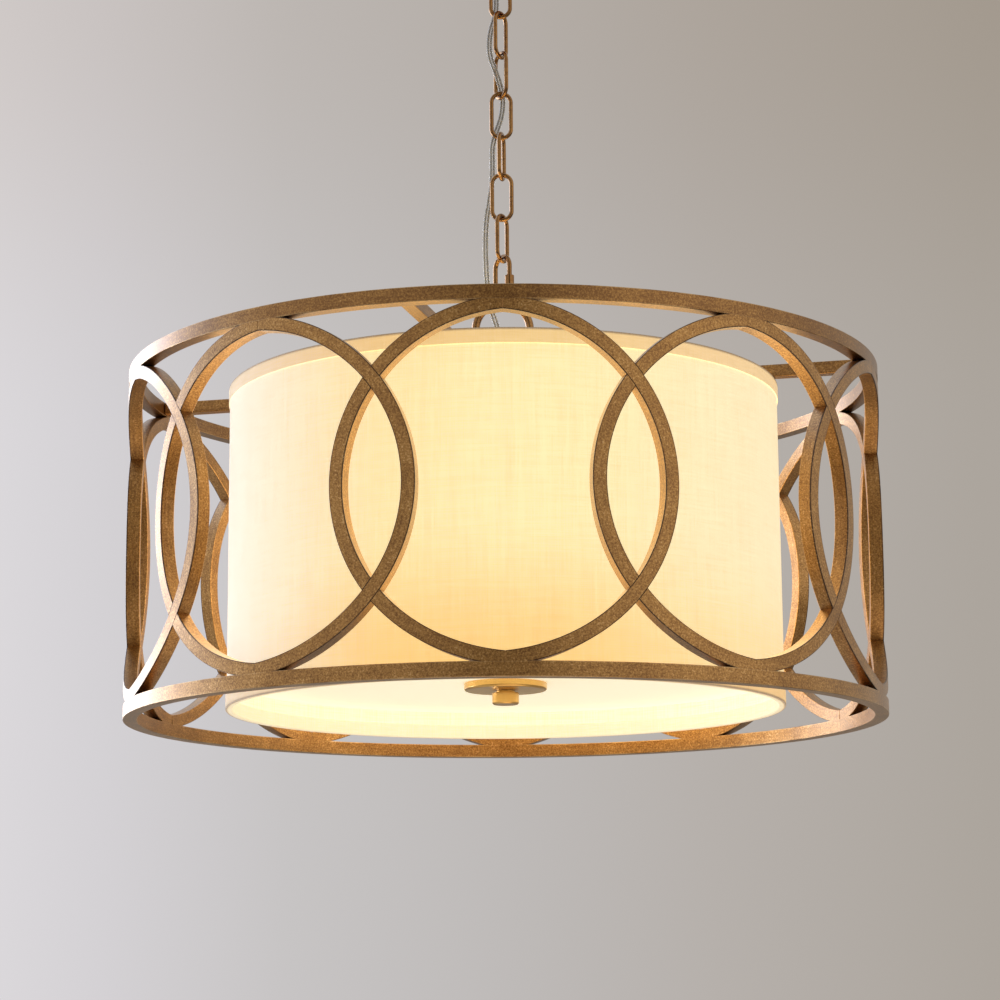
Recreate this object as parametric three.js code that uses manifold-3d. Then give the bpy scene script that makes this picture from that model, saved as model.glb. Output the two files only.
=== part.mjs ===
// A drum chandelier: a cage of interlocking hoops between two square rings round a fabric drum
// shade, hung from the ceiling on a link chain. Lengths are millimetres, +Z is up, and the origin
// is the middle of the ceiling face, so that every piece hangs below it.
import * as THREE from "three";
import { mergeVertices } from "three/addons/utils/BufferGeometryUtils.js";
import Module from "manifold-3d";

const wasm = await Module();
wasm.setup();

// Clearances and small values that several pieces share
const touchGap = 0.3;
const threadGap = 0.3;
const cutOverrun = 4;
const weldTolerance = 0.0001;
const quarterTurn = Math.PI / 2;

// Ceiling fixing: cross bar, its screw holes, the ground screw, the threaded nipple and its nut
const barLength = 104;
const barWidth = 24;
const barThickness = 2.5;
const boxScrewSpacing = 89;
const boxScrewHole = 2.3;
const screwRadius = 2;
const screwHeadRadius = 4;
const screwHeadHeight = 2.6;
const groundScrewOffset = 24;
const nippleRadius = 5;
const nippleBore = 3.4;
const nippleTop = 0.8;
const nutHeight = 5;
const nutWall = 4.2;

// Canopy, the loop that it is screwed up to, and the collar that holds it
const canopyRadius = 62;
const canopyDepth = 25;
const canopyWall = 1.2;
const canopyShoulder = 11;
const canopyTaper = 3;
const barrelRadius = 12.5;
const barrelHeight = 17;
const barrelBelow = 9;
const canopyHoleGap = 0.9;
const loopWire = 4.6;
const collarFlange = 6.5;
const collarHeight = 7;
const collarLip = 2.6;

// Chain links, the screw link under them and its sleeve nut
const linkCount = 7;
const linkPitch = 35;
const linkWidth = 19.5;
const linkWire = 3.5;
const linkTurns = [-4, 57, 123, 184, 256, 359, 420];
const screwLinkPitch = 40.4;
const screwLinkWidth = 23;
const screwLinkWire = 4;
const screwLinkTurn = 127;
const sleeveRadius = 4;
const sleeveLength = 15;
const sleeveDrop = 3;

// Cage: two square rings and the hoops between them. A hoop is bent in two halves that meet in a
// shallow point at its top and foot, and hoopPoint is how far past its middle a half is centred
const cageRadius = 300;
const cageHeight = 276.4;
const ringHeight = 11;
const ringDepth = 11;
const hoopCount = 10;
const hoopOverlap = 64.4;
const hoopSink = 3.3;
const hoopPoint = 14;
const strapWidth = 10.3;
const hangHeight = 62.7;

// Hub, its four arms, and the bow that the chain holds
const armCount = 4;
const armWidth = 10;
const armHeight = 10;
const armTurn = -103.5;
const hubRim = 9;
const bowWidth = 50.6;
const bowBar = 6.6;
const bowTail = 8;
const bowNutWall = 2.9;
const pipeRadius = 5;
const pipeBore = 3.4;
const pipeRise = 12;

// Drum shade on its wire fitter
const shadeRadius = 219.7;
const shadeHeight = 255.4;
const shadeWall = 1;
const shadeWire = 3;
const shadeDrop = 0.8;
const trimHeight = 11;
const trimWall = 0.6;
const washerRim = 8;
const washerThickness = 2.4;
const spokeCount = 3;

// Lamp cluster on the pipe: three sockets with a bulb in each, the first one towards the front
const socketCount = 3;
const firstSocketTurn = -82;
const socketReach = 75;
const clusterRadius = 21;
const clusterHeight = 13;
const clusterDepth = 178;
const clusterTube = 9;
const cupHeight = 4;
const socketWall = 1.9;
const socketHeight = 42;
const socketDepth = 31;
const bulbBase = 13.2;
const bulbBaseLength = 33;
const bulbRadius = 30;
const bulbLength = 108;
const bulbNeckShare = 1.35;

// Diffuser and the finial that holds it up
const diffuserRecess = 22;
const diffuserThickness = 3;
const diffuserRunGap = 0.6;
const plateRadius = 33;
const plateHeight = 6;
const plateWall = 1.6;
const knobRadius = 10.7;
const knobHeight = 9.2;
const knobNeckRadius = 7.6;
const knobNeckHeight = 1.4;
const knobEdge = 1.2;
const knobRoof = 3.4;

// Supply cord: a flat twin flex, and the points that it is threaded through, from the ceiling down
const cordWidth = 5;
const cordThickness = 2.6;
const cordSteps = 76;
const cordRoute = [
  [0, 0, -4],
  [0, 0, -18],
  [0, 0, -32],
  [-1.4, 0.8, -38.5],
  [-4.6, 2.8, -44.5],
  [-5.8, 3.9, -51],
  [-5, 3.9, -59],
  [-3.6, 3.9, -69],
  [-3.6, 4.1, -80],
  [-5.6, 4.1, -90.5],
  [-8.2, 1.4, -101],
  [-9.4, -0.6, -113],
  [-8.6, -1, -124],
  [-5.6, -0.6, -133],
  [-1.9, 2.2, -143],
  [1, 6.6, -154],
  [1.2, 7.2, -164],
  [-0.4, 5.8, -175],
  [-4.2, 4.6, -187],
  [-7.2, 4.2, -199],
  [-7.6, 4, -213],
  [-8, 4, -230],
  [-10, 4.2, -246],
  [-12.6, 3.6, -262],
  [-13.6, 2.6, -280],
  [-13.4, 3, -300],
  [-12.4, 4.4, -318],
  [-10.8, 5.7, -333],
  [-7.8, 5.4, -343],
  [-4.2, 3.4, -355],
  [-1.2, 1, -368],
  [0, 0, -383],
  [0, 0, -396],
];

// Facet counts
const fineFacets = 72;
const roundFacets = 32;
const smallFacets = 16;
const wireFacets = 8;
const bendFacets = 6;
const hoopFacets = 40;
const nutSides = 6;
const thinFacets = 6;
const shoulderFacets = 4;
const globeFacets = 8;

// Heights that follow from the sizes above, from the ceiling down
const barBottom = -barThickness;
const canopyBottom = -canopyDepth;
const barrelTop = canopyBottom + barrelHeight - barrelBelow;
const barrelBottom = canopyBottom - barrelBelow;
const loopOuter = barrelRadius;
const loopInner = loopOuter - loopWire;
const loopMiddle = barrelBottom - loopOuter + loopWire / 2;
const chainTop = loopMiddle - loopInner + touchGap / 2;
const screwLinkTop = chainTop - linkCount * linkPitch;
const bowInnerTop = screwLinkTop - screwLinkPitch;
const cageTop = bowInnerTop - hangHeight;
const cageMiddle = cageTop - cageHeight / 2;

// Heights inside the cage, measured from its middle
const ringTop = cageHeight / 2;
const ringInnerEdge = ringTop - ringHeight;
const armMiddle = ringTop - ringHeight / 2;
const hubTop = armMiddle + armHeight / 2;
const hubBottom = armMiddle - armHeight / 2;
const shadeTop = hubBottom - shadeDrop;
const shadeBottom = shadeTop - shadeHeight;
const diffuserBottom = shadeBottom + diffuserRecess;
const plateTop = diffuserBottom - touchGap;
const plateBottom = plateTop - plateHeight;
const knobTop = plateBottom - touchGap;
const knobBottom = knobTop - knobNeckHeight - knobHeight;
const pipeBottom = knobBottom + knobRoof + touchGap;
const pipeTop = hubTop + pipeRise;
const clusterTop = hubBottom - clusterDepth + clusterHeight / 2;
const clusterBottom = clusterTop - clusterHeight;
const cupTop = clusterTop - (clusterHeight - clusterTube) / 2;
const socketBottom = cupTop + touchGap;

// Radii that follow from the sizes above
const hoopPitch = (2 * Math.PI * cageRadius) / hoopCount;
const hoopHalfWidth = (hoopPitch + hoopOverlap) / 2;
const hoopHalfHeight = ringInnerEdge + hoopSink;
const ringInner = cageRadius - ringDepth;
const bowMiddleRadius = (bowWidth - bowBar) / 2;
const hubRadius = bowWidth / 2 + hubRim;
const fitterRing = shadeRadius - shadeWall - touchGap - shadeWire / 2;
const diffuserRadius = fitterRing - shadeWire / 2 - diffuserRunGap;
const socketBore = bulbBase + threadGap;
const socketRadius = socketBore + socketWall;

// A closed solid from any geometry, with its doubled points merged and its faces out
function solidOf(geometry) {
  const loose = geometry.index ? geometry.toNonIndexed() : geometry;
  const bare = new THREE.BufferGeometry();
  bare.setAttribute("position", loose.getAttribute("position").clone());
  const merged = mergeVertices(bare, weldTolerance);
  const corners = [];
  for (let i = 0; i < merged.index.count; i += 3) {
    const [a, b, c] = [0, 1, 2].map((k) => merged.index.getX(i + k));
    if (a !== b && b !== c && c !== a) corners.push([a, b, c]);
  }
  const build = (triangles) =>
    new wasm.Manifold(
      new wasm.Mesh({
        numProp: 3,
        vertProperties: merged.getAttribute("position").array,
        triVerts: new Uint32Array(triangles.flat()),
      }),
    );
  const made = build(corners);
  return made.volume() > 0 ? made : build(corners.map(([a, b, c]) => [a, c, b]));
}

// The geometry of a solid, ready for a mesh
function geometryOf(solid) {
  const { vertProperties, triVerts, numProp, numVert } = solid.getMesh();
  const points = new Float32Array(numVert * 3);
  for (let i = 0; i < numVert; i++) {
    points.set(vertProperties.subarray(i * numProp, i * numProp + 3), i * 3);
  }
  const geometry = new THREE.BufferGeometry();
  geometry.setAttribute("position", new THREE.BufferAttribute(points, 3));
  geometry.setIndex(new THREE.BufferAttribute(triVerts, 1));
  geometry.computeVertexNormals();
  return geometry;
}

// A profile of [radius, height] pairs turned about the Z axis
function turned(profile, facets = roundFacets) {
  const points = profile.map(([radius, height]) => new THREE.Vector2(radius, height));
  return new THREE.LatheGeometry(points, facets).rotateX(quarterTurn);
}

// A plain round rod or disc between two heights
function rod(radius, bottom, top, facets = smallFacets) {
  return turned([[0, bottom], [radius, bottom], [radius, top], [0, top]], facets);
}

// A round tube, washer or shell between two heights
function tube(inner, outer, bottom, top, facets = smallFacets) {
  return turned(
    [[inner, bottom], [outer, bottom], [outer, top], [inner, top], [inner, bottom]],
    facets,
  );
}

// A flat-sided section for wires and tubes, twice as wide or high as its half sizes
function section(halfWidth, halfHeight, sides = wireFacets) {
  const points = Array.from({ length: sides }, (_, i) => {
    const angle = (2 * Math.PI * (i + 0.5)) / sides;
    return new THREE.Vector2(halfWidth * Math.cos(angle), halfHeight * Math.sin(angle));
  });
  return new THREE.Shape(points);
}

// A wire or tube of one section along an open curve
function alongCurve(shape, curve, steps) {
  return new THREE.ExtrudeGeometry(shape, { extrudePath: curve, steps, bevelEnabled: false });
}

// A closed sweep: a lathe's rings of one profile, each put where place(step, point) says
function sweptRing(profile, steps, place) {
  const ring = new THREE.LatheGeometry([...profile, profile[0]], steps);
  const position = ring.getAttribute("position");
  const perRing = profile.length + 1;
  for (let i = 0; i < position.count; i++) {
    const step = Math.floor(i / perRing) % steps;
    const point = profile[(i % perRing) % profile.length];
    const { x, y, z } = place(step, point);
    position.setXYZ(i, x, y, z);
  }
  return ring;
}

// A hexagonal nut round a bore, between two heights
function hexNut(bore, wall, bottom, height) {
  const body = solidOf(rod(bore + wall, bottom, bottom + height, nutSides));
  const hole = solidOf(rod(bore + threadGap, bottom - cutOverrun, bottom + height + cutOverrun));
  return body.subtract(hole);
}

// A wire link whose two bends are half circles, hung from its inner top at height zero
function wireLink(pitch, width, wire) {
  const bend = (width - wire) / 2;
  const straight = pitch + touchGap + wire - 2 * bend;
  const upper = touchGap / 2 + wire / 2 - bend;
  const steps = 2 * (bendFacets + 1);
  const across = section(wire / 2, wire / 2).getPoints().slice(0, wireFacets);
  return sweptRing(across, steps, (step, point) => {
    const onUpper = step <= bendFacets;
    const turn = (Math.PI * (onUpper ? step : step - 1)) / bendFacets;
    const middle = onUpper ? upper : upper - straight;
    const reach = bend + point.x;
    return new THREE.Vector3(
      reach * Math.cos(turn),
      point.y,
      middle + reach * Math.sin(turn),
    );
  });
}

// One hoop's strap laid out flat and wrapped round the cage, widened on both sides by extra
function strap(extra, near, far) {
  const half = strapWidth / 2 + extra;
  const middle = hoopHalfWidth - strapWidth / 2;
  const profile = [
    new THREE.Vector2(middle - half, near),
    new THREE.Vector2(middle + half, near),
    new THREE.Vector2(middle + half, far),
    new THREE.Vector2(middle - half, far),
  ];
  const taller = hoopHalfHeight - hoopHalfWidth;
  return solidOf(
    sweptRing(profile, hoopFacets, (step, point) => {
      const onRight = step <= hoopFacets / 2;
      const share = (onRight ? step : hoopFacets - step) / (hoopFacets / 2);
      const lean = Math.asin(hoopPoint / (point.x + hoopPoint));
      const turn = lean + (Math.PI - 2 * lean) * share;
      const across = (point.x + hoopPoint) * Math.sin(turn) - hoopPoint;
      const round = ((onRight ? 1 : -1) * across) / cageRadius;
      return new THREE.Vector3(
        point.y * Math.sin(round),
        -point.y * Math.cos(round),
        ((point.x + taller) * Math.cos(turn)) / Math.cos(lean),
      );
    }),
  );
}

const metal = (color, roughness) =>
  new THREE.MeshStandardMaterial({ color, roughness, metalness: 1 });
const matter = (color, roughness) =>
  new THREE.MeshStandardMaterial({ color, roughness, metalness: 0 });

const chandelier = new THREE.Group();
const cage = new THREE.Group();
cage.position.z = cageMiddle;
chandelier.add(cage);

// Puts one named piece in a group, from a solid or a geometry
function piece(name, shape, material, parent = cage) {
  const solid = shape.isBufferGeometry ? solidOf(shape) : shape;
  const mesh = new THREE.Mesh(geometryOf(solid), material);
  mesh.name = name;
  parent.add(mesh);
  return mesh;
}

// Turns a piece about the vertical through its group's origin
function turnedBy(mesh, degrees) {
  mesh.rotation.z = THREE.MathUtils.degToRad(degrees);
  return mesh;
}

const bronze = () => metal(0x8d6a45, 0.42);
const steel = () => metal(0x9a9a98, 0.45);
const brass = () => metal(0xb08a4a, 0.4);

// Cross bar with the holes for the ceiling box's two screws, and its ground screw
function ceilingFixing() {
  const barShape = new THREE.Shape([
    new THREE.Vector2(-barLength / 2, -barWidth / 2),
    new THREE.Vector2(barLength / 2, -barWidth / 2),
    new THREE.Vector2(barLength / 2, barWidth / 2),
    new THREE.Vector2(-barLength / 2, barWidth / 2),
  ]);
  const plate = new THREE.ExtrudeGeometry(barShape, {
    depth: barThickness,
    bevelEnabled: false,
  }).translate(0, 0, barBottom);
  const hole = (radius, x) =>
    solidOf(rod(radius, barBottom - cutOverrun, cutOverrun).translate(x, 0, 0));
  const screwX = boxScrewSpacing / 2;
  const bar = solidOf(plate)
    .subtract(hole(nippleRadius + threadGap, 0))
    .subtract(hole(boxScrewHole, screwX))
    .subtract(hole(boxScrewHole, -screwX))
    .subtract(hole(screwRadius + threadGap, groundScrewOffset));
  piece("mounting_bar", bar, steel(), chandelier);

  const headTop = barBottom - touchGap;
  const screw = turned(
    [
      [0, headTop - screwHeadHeight],
      [screwHeadRadius, headTop - screwHeadHeight],
      [screwHeadRadius, headTop],
      [screwRadius, headTop],
      [screwRadius, 0],
      [0, 0],
    ],
    smallFacets,
  );
  const ground = piece("ground_screw", screw, metal(0x4f7f4a, 0.5), chandelier);
  ground.position.x = groundScrewOffset;
}

// Threaded nipple, its lock nut, and the loop that screws on below it
function nippleAndLoop() {
  const nippleBottom = (barrelTop + barrelBottom) / 2;
  piece("nipple", tube(nippleBore, nippleRadius, nippleBottom, -nippleTop), steel(), chandelier);
  const nutBottom = barBottom - touchGap - nutHeight;
  piece("nipple_nut", hexNut(nippleRadius, nutWall, nutBottom, nutHeight), steel(), chandelier);

  const barrel = solidOf(rod(barrelRadius, barrelBottom, barrelTop, roundFacets));
  const ringProfile = section(loopWire / 2, loopWire / 2).getPoints().slice(0, wireFacets);
  const ringBend = (loopInner + loopOuter) / 2;
  const ringSteps = 2 * smallFacets;
  const ring = solidOf(
    sweptRing(ringProfile, ringSteps, (step, point) => {
      const turn = (2 * Math.PI * step) / ringSteps;
      const reach = ringBend + point.x;
      return new THREE.Vector3(
        point.y,
        reach * Math.cos(turn),
        loopMiddle + reach * Math.sin(turn),
      );
    }),
  );
  const seat = solidOf(
    rod(nippleRadius + threadGap, nippleBottom - touchGap, barrelTop + cutOverrun),
  );
  const cordWay = solidOf(rod(nippleBore, loopMiddle, barrelTop, smallFacets));
  const loop = barrel.add(ring).subtract(seat).subtract(cordWay);
  piece("canopy_loop", loop, bronze(), chandelier);
}

// Spun canopy and the threaded collar under it
function canopyAndCollar() {
  const hole = barrelRadius + canopyHoleGap;
  const foot = canopyRadius;
  const waist = canopyRadius - canopyTaper;
  const shoulder = (radius, bottom, reach) =>
    Array.from({ length: shoulderFacets + 1 }, (_, k) => {
      const turn = (quarterTurn * k) / shoulderFacets;
      return [
        radius - reach + reach * Math.cos(turn),
        bottom + reach - reach * Math.sin(turn),
      ];
    });
  const outside = [[foot, 0], ...shoulder(waist, canopyBottom, canopyShoulder)];
  const innerShoulder = canopyShoulder - canopyWall;
  const inside = [
    ...shoulder(waist - canopyWall, canopyBottom + canopyWall, innerShoulder).reverse(),
    [foot - canopyWall, 0],
  ];
  const profile = [
    ...outside,
    [hole, canopyBottom],
    [hole, canopyBottom + canopyWall],
    ...inside,
    outside[0],
  ];
  piece("canopy", turned(profile, fineFacets / 2), bronze(), chandelier);

  const bore = barrelRadius + threadGap;
  const top = canopyBottom - touchGap;
  const flange = bore + collarFlange;
  const neck = bore + collarFlange / 2;
  const collar = [
    [bore, top],
    [flange, top],
    [flange, top - collarLip],
    [neck, top - collarLip],
    [neck, top - collarHeight],
    [bore, top - collarHeight],
    [bore, top],
  ];
  piece("collar_ring", turned(collar), bronze(), chandelier);
}

// Seven welded links, then the longer screw link with its sleeve nut
function chain() {
  linkTurns.slice(0, linkCount).forEach((degrees, i) => {
    const link = piece(
      `chain_link_${i + 1}`,
      wireLink(linkPitch, linkWidth, linkWire),
      bronze(),
      chandelier,
    );
    turnedBy(link, degrees).position.z = chainTop - i * linkPitch;
  });
  const screwLink = new THREE.Group();
  screwLink.position.z = screwLinkTop;
  screwLink.rotation.z = THREE.MathUtils.degToRad(screwLinkTurn);
  chandelier.add(screwLink);
  piece("screw_link", wireLink(screwLinkPitch, screwLinkWidth, screwLinkWire), bronze(), screwLink);

  const legX = (screwLinkWidth - screwLinkWire) / 2;
  const sleeveTop = -(screwLinkPitch - sleeveLength) / 2 - sleeveDrop;
  const sleeve = tube(
    screwLinkWire / 2 + touchGap,
    sleeveRadius,
    sleeveTop - sleeveLength,
    sleeveTop,
  );
  piece("screw_link_sleeve", sleeve, bronze(), screwLink).position.x = -legX;
}

// Top and bottom rings of square bar
function rings() {
  const ring = (bottom) =>
    tube(ringInner, cageRadius, bottom, bottom + ringHeight, fineFacets);
  piece("top_ring", ring(ringInnerEdge), bronze());
  piece("bottom_ring", ring(-ringTop), bronze());
}

// The hoops: flush where they cross, each lapped over the next one and under the one before
function hoops() {
  const half = cageRadius - ringDepth / 2;
  const outerFace = cageRadius;
  const innerFace = ringInner;
  const pitchTurn = 360 / hoopCount;
  const whole = strap(0, innerFace, outerFace);
  const underNext = strap(touchGap, innerFace - cutOverrun, half + touchGap / 2);
  const overLast = strap(touchGap, half - touchGap / 2, outerFace + cutOverrun);
  const keep = solidOf(
    rod(cageRadius + cutOverrun, -ringInnerEdge + touchGap, ringInnerEdge - touchGap),
  );
  const lapped = whole
    .subtract(underNext.rotate([0, 0, pitchTurn]))
    .subtract(overLast.rotate([0, 0, -pitchTurn]))
    .intersect(keep);
  for (let i = 0; i < hoopCount; i++) {
    turnedBy(piece(`cage_hoop_${i + 1}`, lapped, bronze()), i * pitchTurn);
  }
}

// Hub plate, its arms out to the top ring, and the bow bolted through it
function hubAndBow() {
  const plate = solidOf(rod(hubRadius, hubBottom, hubTop, roundFacets));
  const pipeHole = solidOf(
    rod(pipeRadius + threadGap, hubBottom - cutOverrun, hubTop + cutOverrun),
  );
  const legHole = (x) =>
    solidOf(
      rod(bowBar / 2 + threadGap, hubBottom - cutOverrun, hubTop + cutOverrun).translate(x, 0, 0),
    );
  const hub = plate
    .subtract(pipeHole)
    .subtract(legHole(bowMiddleRadius))
    .subtract(legHole(-bowMiddleRadius));
  piece("hub", hub, bronze());

  const armStart = hubRadius + touchGap;
  const armEnd = Math.sqrt((ringInner - touchGap) ** 2 - (armWidth / 2) ** 2);
  const armLength = armEnd - armStart;
  for (let i = 0; i < armCount; i++) {
    const bar = new THREE.BoxGeometry(armLength, armWidth, armHeight);
    bar.translate(armStart + armLength / 2, 0, armMiddle);
    turnedBy(piece(`hub_arm_${i + 1}`, bar, bronze()), armTurn + (i * 360) / armCount);
  }

  const bowCentre = bowInnerTop + touchGap / 2 - (bowWidth / 2 - bowBar) - cageMiddle;
  const legEnd = hubBottom - bowTail;
  const bowPath = new THREE.CurvePath();
  const top = new THREE.EllipseCurve(0, bowCentre, bowMiddleRadius, bowMiddleRadius, 0, Math.PI);
  const upright = (x, z) => new THREE.Vector3(x, 0, z);
  const arc = Array.from({ length: roundFacets / 2 + 1 }, (_, i) => {
    const at = top.getPoint((2 * i) / roundFacets);
    return upright(at.x, at.y);
  });
  const stops = [upright(bowMiddleRadius, legEnd), ...arc, upright(-bowMiddleRadius, legEnd)];
  stops.slice(1).forEach((stop, i) => bowPath.add(new THREE.LineCurve3(stops[i], stop)));
  bowPath.getSpacedPoints = () => stops;
  const barSection = section(bowBar / 2, bowBar / 2, smallFacets / 2);
  piece("hang_bow", alongCurve(barSection, bowPath, stops.length - 1), bronze());

  const nutBottom = hubBottom - touchGap - nutHeight;
  const nut = () => hexNut(bowBar / 2, bowNutWall, nutBottom, nutHeight);
  piece("bow_nut_left", nut(), steel()).position.x = -bowMiddleRadius;
  piece("bow_nut_right", nut(), steel()).position.x = bowMiddleRadius;
}

// The hollow threaded pipe down the middle, and its nuts above and below the hub
function centrePipe() {
  piece("centre_pipe", tube(pipeBore, pipeRadius, pipeBottom, pipeTop), steel());
  const topNut = hexNut(pipeRadius, nutWall, hubTop + touchGap, nutHeight);
  piece("pipe_top_nut", topNut, steel());
  const lowerNutTop = hubBottom - washerThickness - 2 * touchGap;
  piece("pipe_lower_nut", hexNut(pipeRadius, nutWall, lowerNutTop - nutHeight, nutHeight), steel());
}

// Fabric drum with its tapes, on a wire fitter clamped under the hub
function shade() {
  const wire = shadeWire / 2;
  const ringAt = (height) =>
    solidOf(
      sweptRing(
        section(wire, wire, thinFacets).getPoints().slice(0, thinFacets),
        fineFacets,
        (step, point) => {
          const turn = (2 * Math.PI * step) / fineFacets;
          const reach = fitterRing + point.x;
          return new THREE.Vector3(
            reach * Math.cos(turn),
            reach * Math.sin(turn),
            height + point.y,
          );
        },
      ),
    );
  const ringHeightUp = shadeTop - shadeWire;
  const washerTop = hubBottom - touchGap;
  const washerRadius = pipeRadius + washerRim;
  const washer = solidOf(
    tube(pipeRadius + threadGap, washerRadius, washerTop - washerThickness, washerTop),
  );
  const washerMiddle = washerTop - washerThickness / 2;
  let fitter = ringAt(ringHeightUp).add(washer);
  for (let i = 0; i < spokeCount; i++) {
    const turn = (2 * Math.PI * i) / spokeCount + quarterTurn;
    const along = (radius, height) =>
      new THREE.Vector3(radius * Math.cos(turn), radius * Math.sin(turn), height);
    const line = new THREE.LineCurve3(
      along(washerRadius - wire, washerMiddle),
      along(fitterRing, ringHeightUp),
    );
    fitter = fitter.add(solidOf(alongCurve(section(wire / 2, wire / 2, thinFacets), line, 1)));
  }
  piece("shade_fitter", fitter, steel());
  piece("shade_bottom_wire", ringAt(shadeBottom + shadeWire), steel());

  const cream = () => matter(0xf4e8cf, 0.9);
  const inner = shadeRadius - shadeWall;
  piece("shade_fabric", tube(inner, shadeRadius, shadeBottom, shadeTop, fineFacets), cream());
  const trimInner = shadeRadius + touchGap;
  const trim = (bottom) =>
    tube(trimInner, trimInner + trimWall, bottom, bottom + trimHeight, fineFacets);
  piece("shade_top_tape", trim(shadeTop - trimHeight), cream());
  piece("shade_bottom_tape", trim(shadeBottom), cream());
}

// Lamp cluster on the pipe, with a socket and a bulb at each end
// The direction of one socket as seen from the pipe
function socketTurn(i) {
  return THREE.MathUtils.degToRad(firstSocketTurn) + (2 * Math.PI * i) / socketCount;
}

function lamps() {
  const body = solidOf(rod(clusterRadius, clusterBottom, clusterTop, roundFacets));
  const bore = solidOf(
    rod(pipeRadius + threadGap, clusterBottom - cutOverrun, clusterTop + cutOverrun),
  );
  const tubeMiddle = (clusterBottom + clusterTop) / 2;
  let cluster = body;
  for (let i = 0; i < socketCount; i++) {
    const turn = socketTurn(i);
    const out = (radius) =>
      new THREE.Vector3(radius * Math.cos(turn), radius * Math.sin(turn), tubeMiddle);
    const line = new THREE.LineCurve3(out(clusterRadius / 2), out(socketReach));
    const arm = solidOf(alongCurve(section(clusterTube / 2, clusterTube / 2), line, 1));
    const cup = solidOf(rod(socketRadius, cupTop - cupHeight, cupTop));
    cluster = cluster.add(arm).add(cup.translate(out(socketReach).x, out(socketReach).y, 0));
  }
  piece("lamp_cluster", cluster.subtract(bore), steel());
  const nutBottom = clusterBottom - touchGap - nutHeight;
  piece("cluster_nut", hexNut(pipeRadius, nutWall, nutBottom, nutHeight), steel());

  const socketTop = socketBottom + socketHeight;
  const floor = socketTop - socketDepth;
  const socketProfile = [
    [0, socketBottom],
    [socketRadius, socketBottom],
    [socketRadius, socketTop],
    [socketBore, socketTop],
    [socketBore, floor],
    [0, floor],
  ];
  const bulbBottom = floor + touchGap;
  const neckTop = bulbBottom + bulbBaseLength;
  const globeMiddle = bulbBottom + bulbLength - bulbRadius;
  const neckAngle = Math.asin(bulbBase / bulbRadius) * bulbNeckShare;
  const globe = Array.from({ length: globeFacets }, (_, k) => {
    const turn = neckAngle + ((Math.PI - neckAngle) * k) / globeFacets;
    return [bulbRadius * Math.sin(turn), globeMiddle - bulbRadius * Math.cos(turn)];
  });
  const bulbProfile = [
    [0, bulbBottom],
    [bulbBase, bulbBottom],
    [bulbBase, neckTop],
    ...globe,
    [0, bulbBottom + bulbLength],
  ];
  for (let i = 0; i < socketCount; i++) {
    const turn = socketTurn(i);
    const place = (mesh) => {
      mesh.position.x = socketReach * Math.cos(turn);
      mesh.position.y = socketReach * Math.sin(turn);
    };
    place(piece(`socket_${i + 1}`, turned(socketProfile, smallFacets), matter(0xe9e4da, 0.5)));
    place(piece(`bulb_${i + 1}`, turned(bulbProfile, smallFacets), matter(0xfff3da, 0.3)));
  }
}

// Frosted disc inside the foot of the shade, the cup under it, and the knob that screws it up
function diffuserAndFinial() {
  const pipeHole = pipeRadius + threadGap;
  const disc = tube(
    pipeHole,
    diffuserRadius,
    diffuserBottom,
    diffuserBottom + diffuserThickness,
    fineFacets,
  );
  piece("diffuser", disc, matter(0xfff6e2, 0.5));

  const cupInner = plateRadius - plateWall;
  const cup = [
    [pipeHole, plateBottom],
    [plateRadius, plateBottom],
    [plateRadius, plateTop],
    [cupInner, plateTop],
    [cupInner, plateBottom + plateWall],
    [pipeHole, plateBottom + plateWall],
    [pipeHole, plateBottom],
  ];
  piece("finial_plate", turned(cup), brass());

  const knobWaist = knobTop - knobNeckHeight;
  const holeTop = pipeBottom - touchGap;
  const knob = [
    [pipeHole, knobTop],
    [knobNeckRadius, knobTop],
    [knobNeckRadius, knobWaist],
    [knobRadius, knobWaist],
    [knobRadius, knobBottom + knobEdge],
    [knobRadius - knobEdge, knobBottom],
    [0, knobBottom],
    [0, holeTop],
    [pipeHole, holeTop],
    [pipeHole, knobTop],
  ];
  const finial = turned(knob);
  piece("finial_knob", finial, brass());
}

// The twin flex threaded down the chain, from the nipple to the middle pipe
function supplyCord() {
  const route = new THREE.CatmullRomCurve3(
    cordRoute.map(([x, y, z]) => new THREE.Vector3(x, y, z)),
    false,
    "centripetal",
  );
  const shape = section(cordThickness / 2, cordWidth / 2);
  piece("supply_cord", alongCurve(shape, route, cordSteps), matter(0xd8d8d2, 0.2), chandelier);
}

ceilingFixing();
nippleAndLoop();
canopyAndCollar();
chain();
rings();
hoops();
hubAndBow();
centrePipe();
shade();
lamps();
diffuserAndFinial();
supplyCord();

export default chandelier;
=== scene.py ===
from math import asin, atan2, cos, degrees, pi, radians, sin, tau

import bpy
from mathutils import Matrix, Vector


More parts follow.
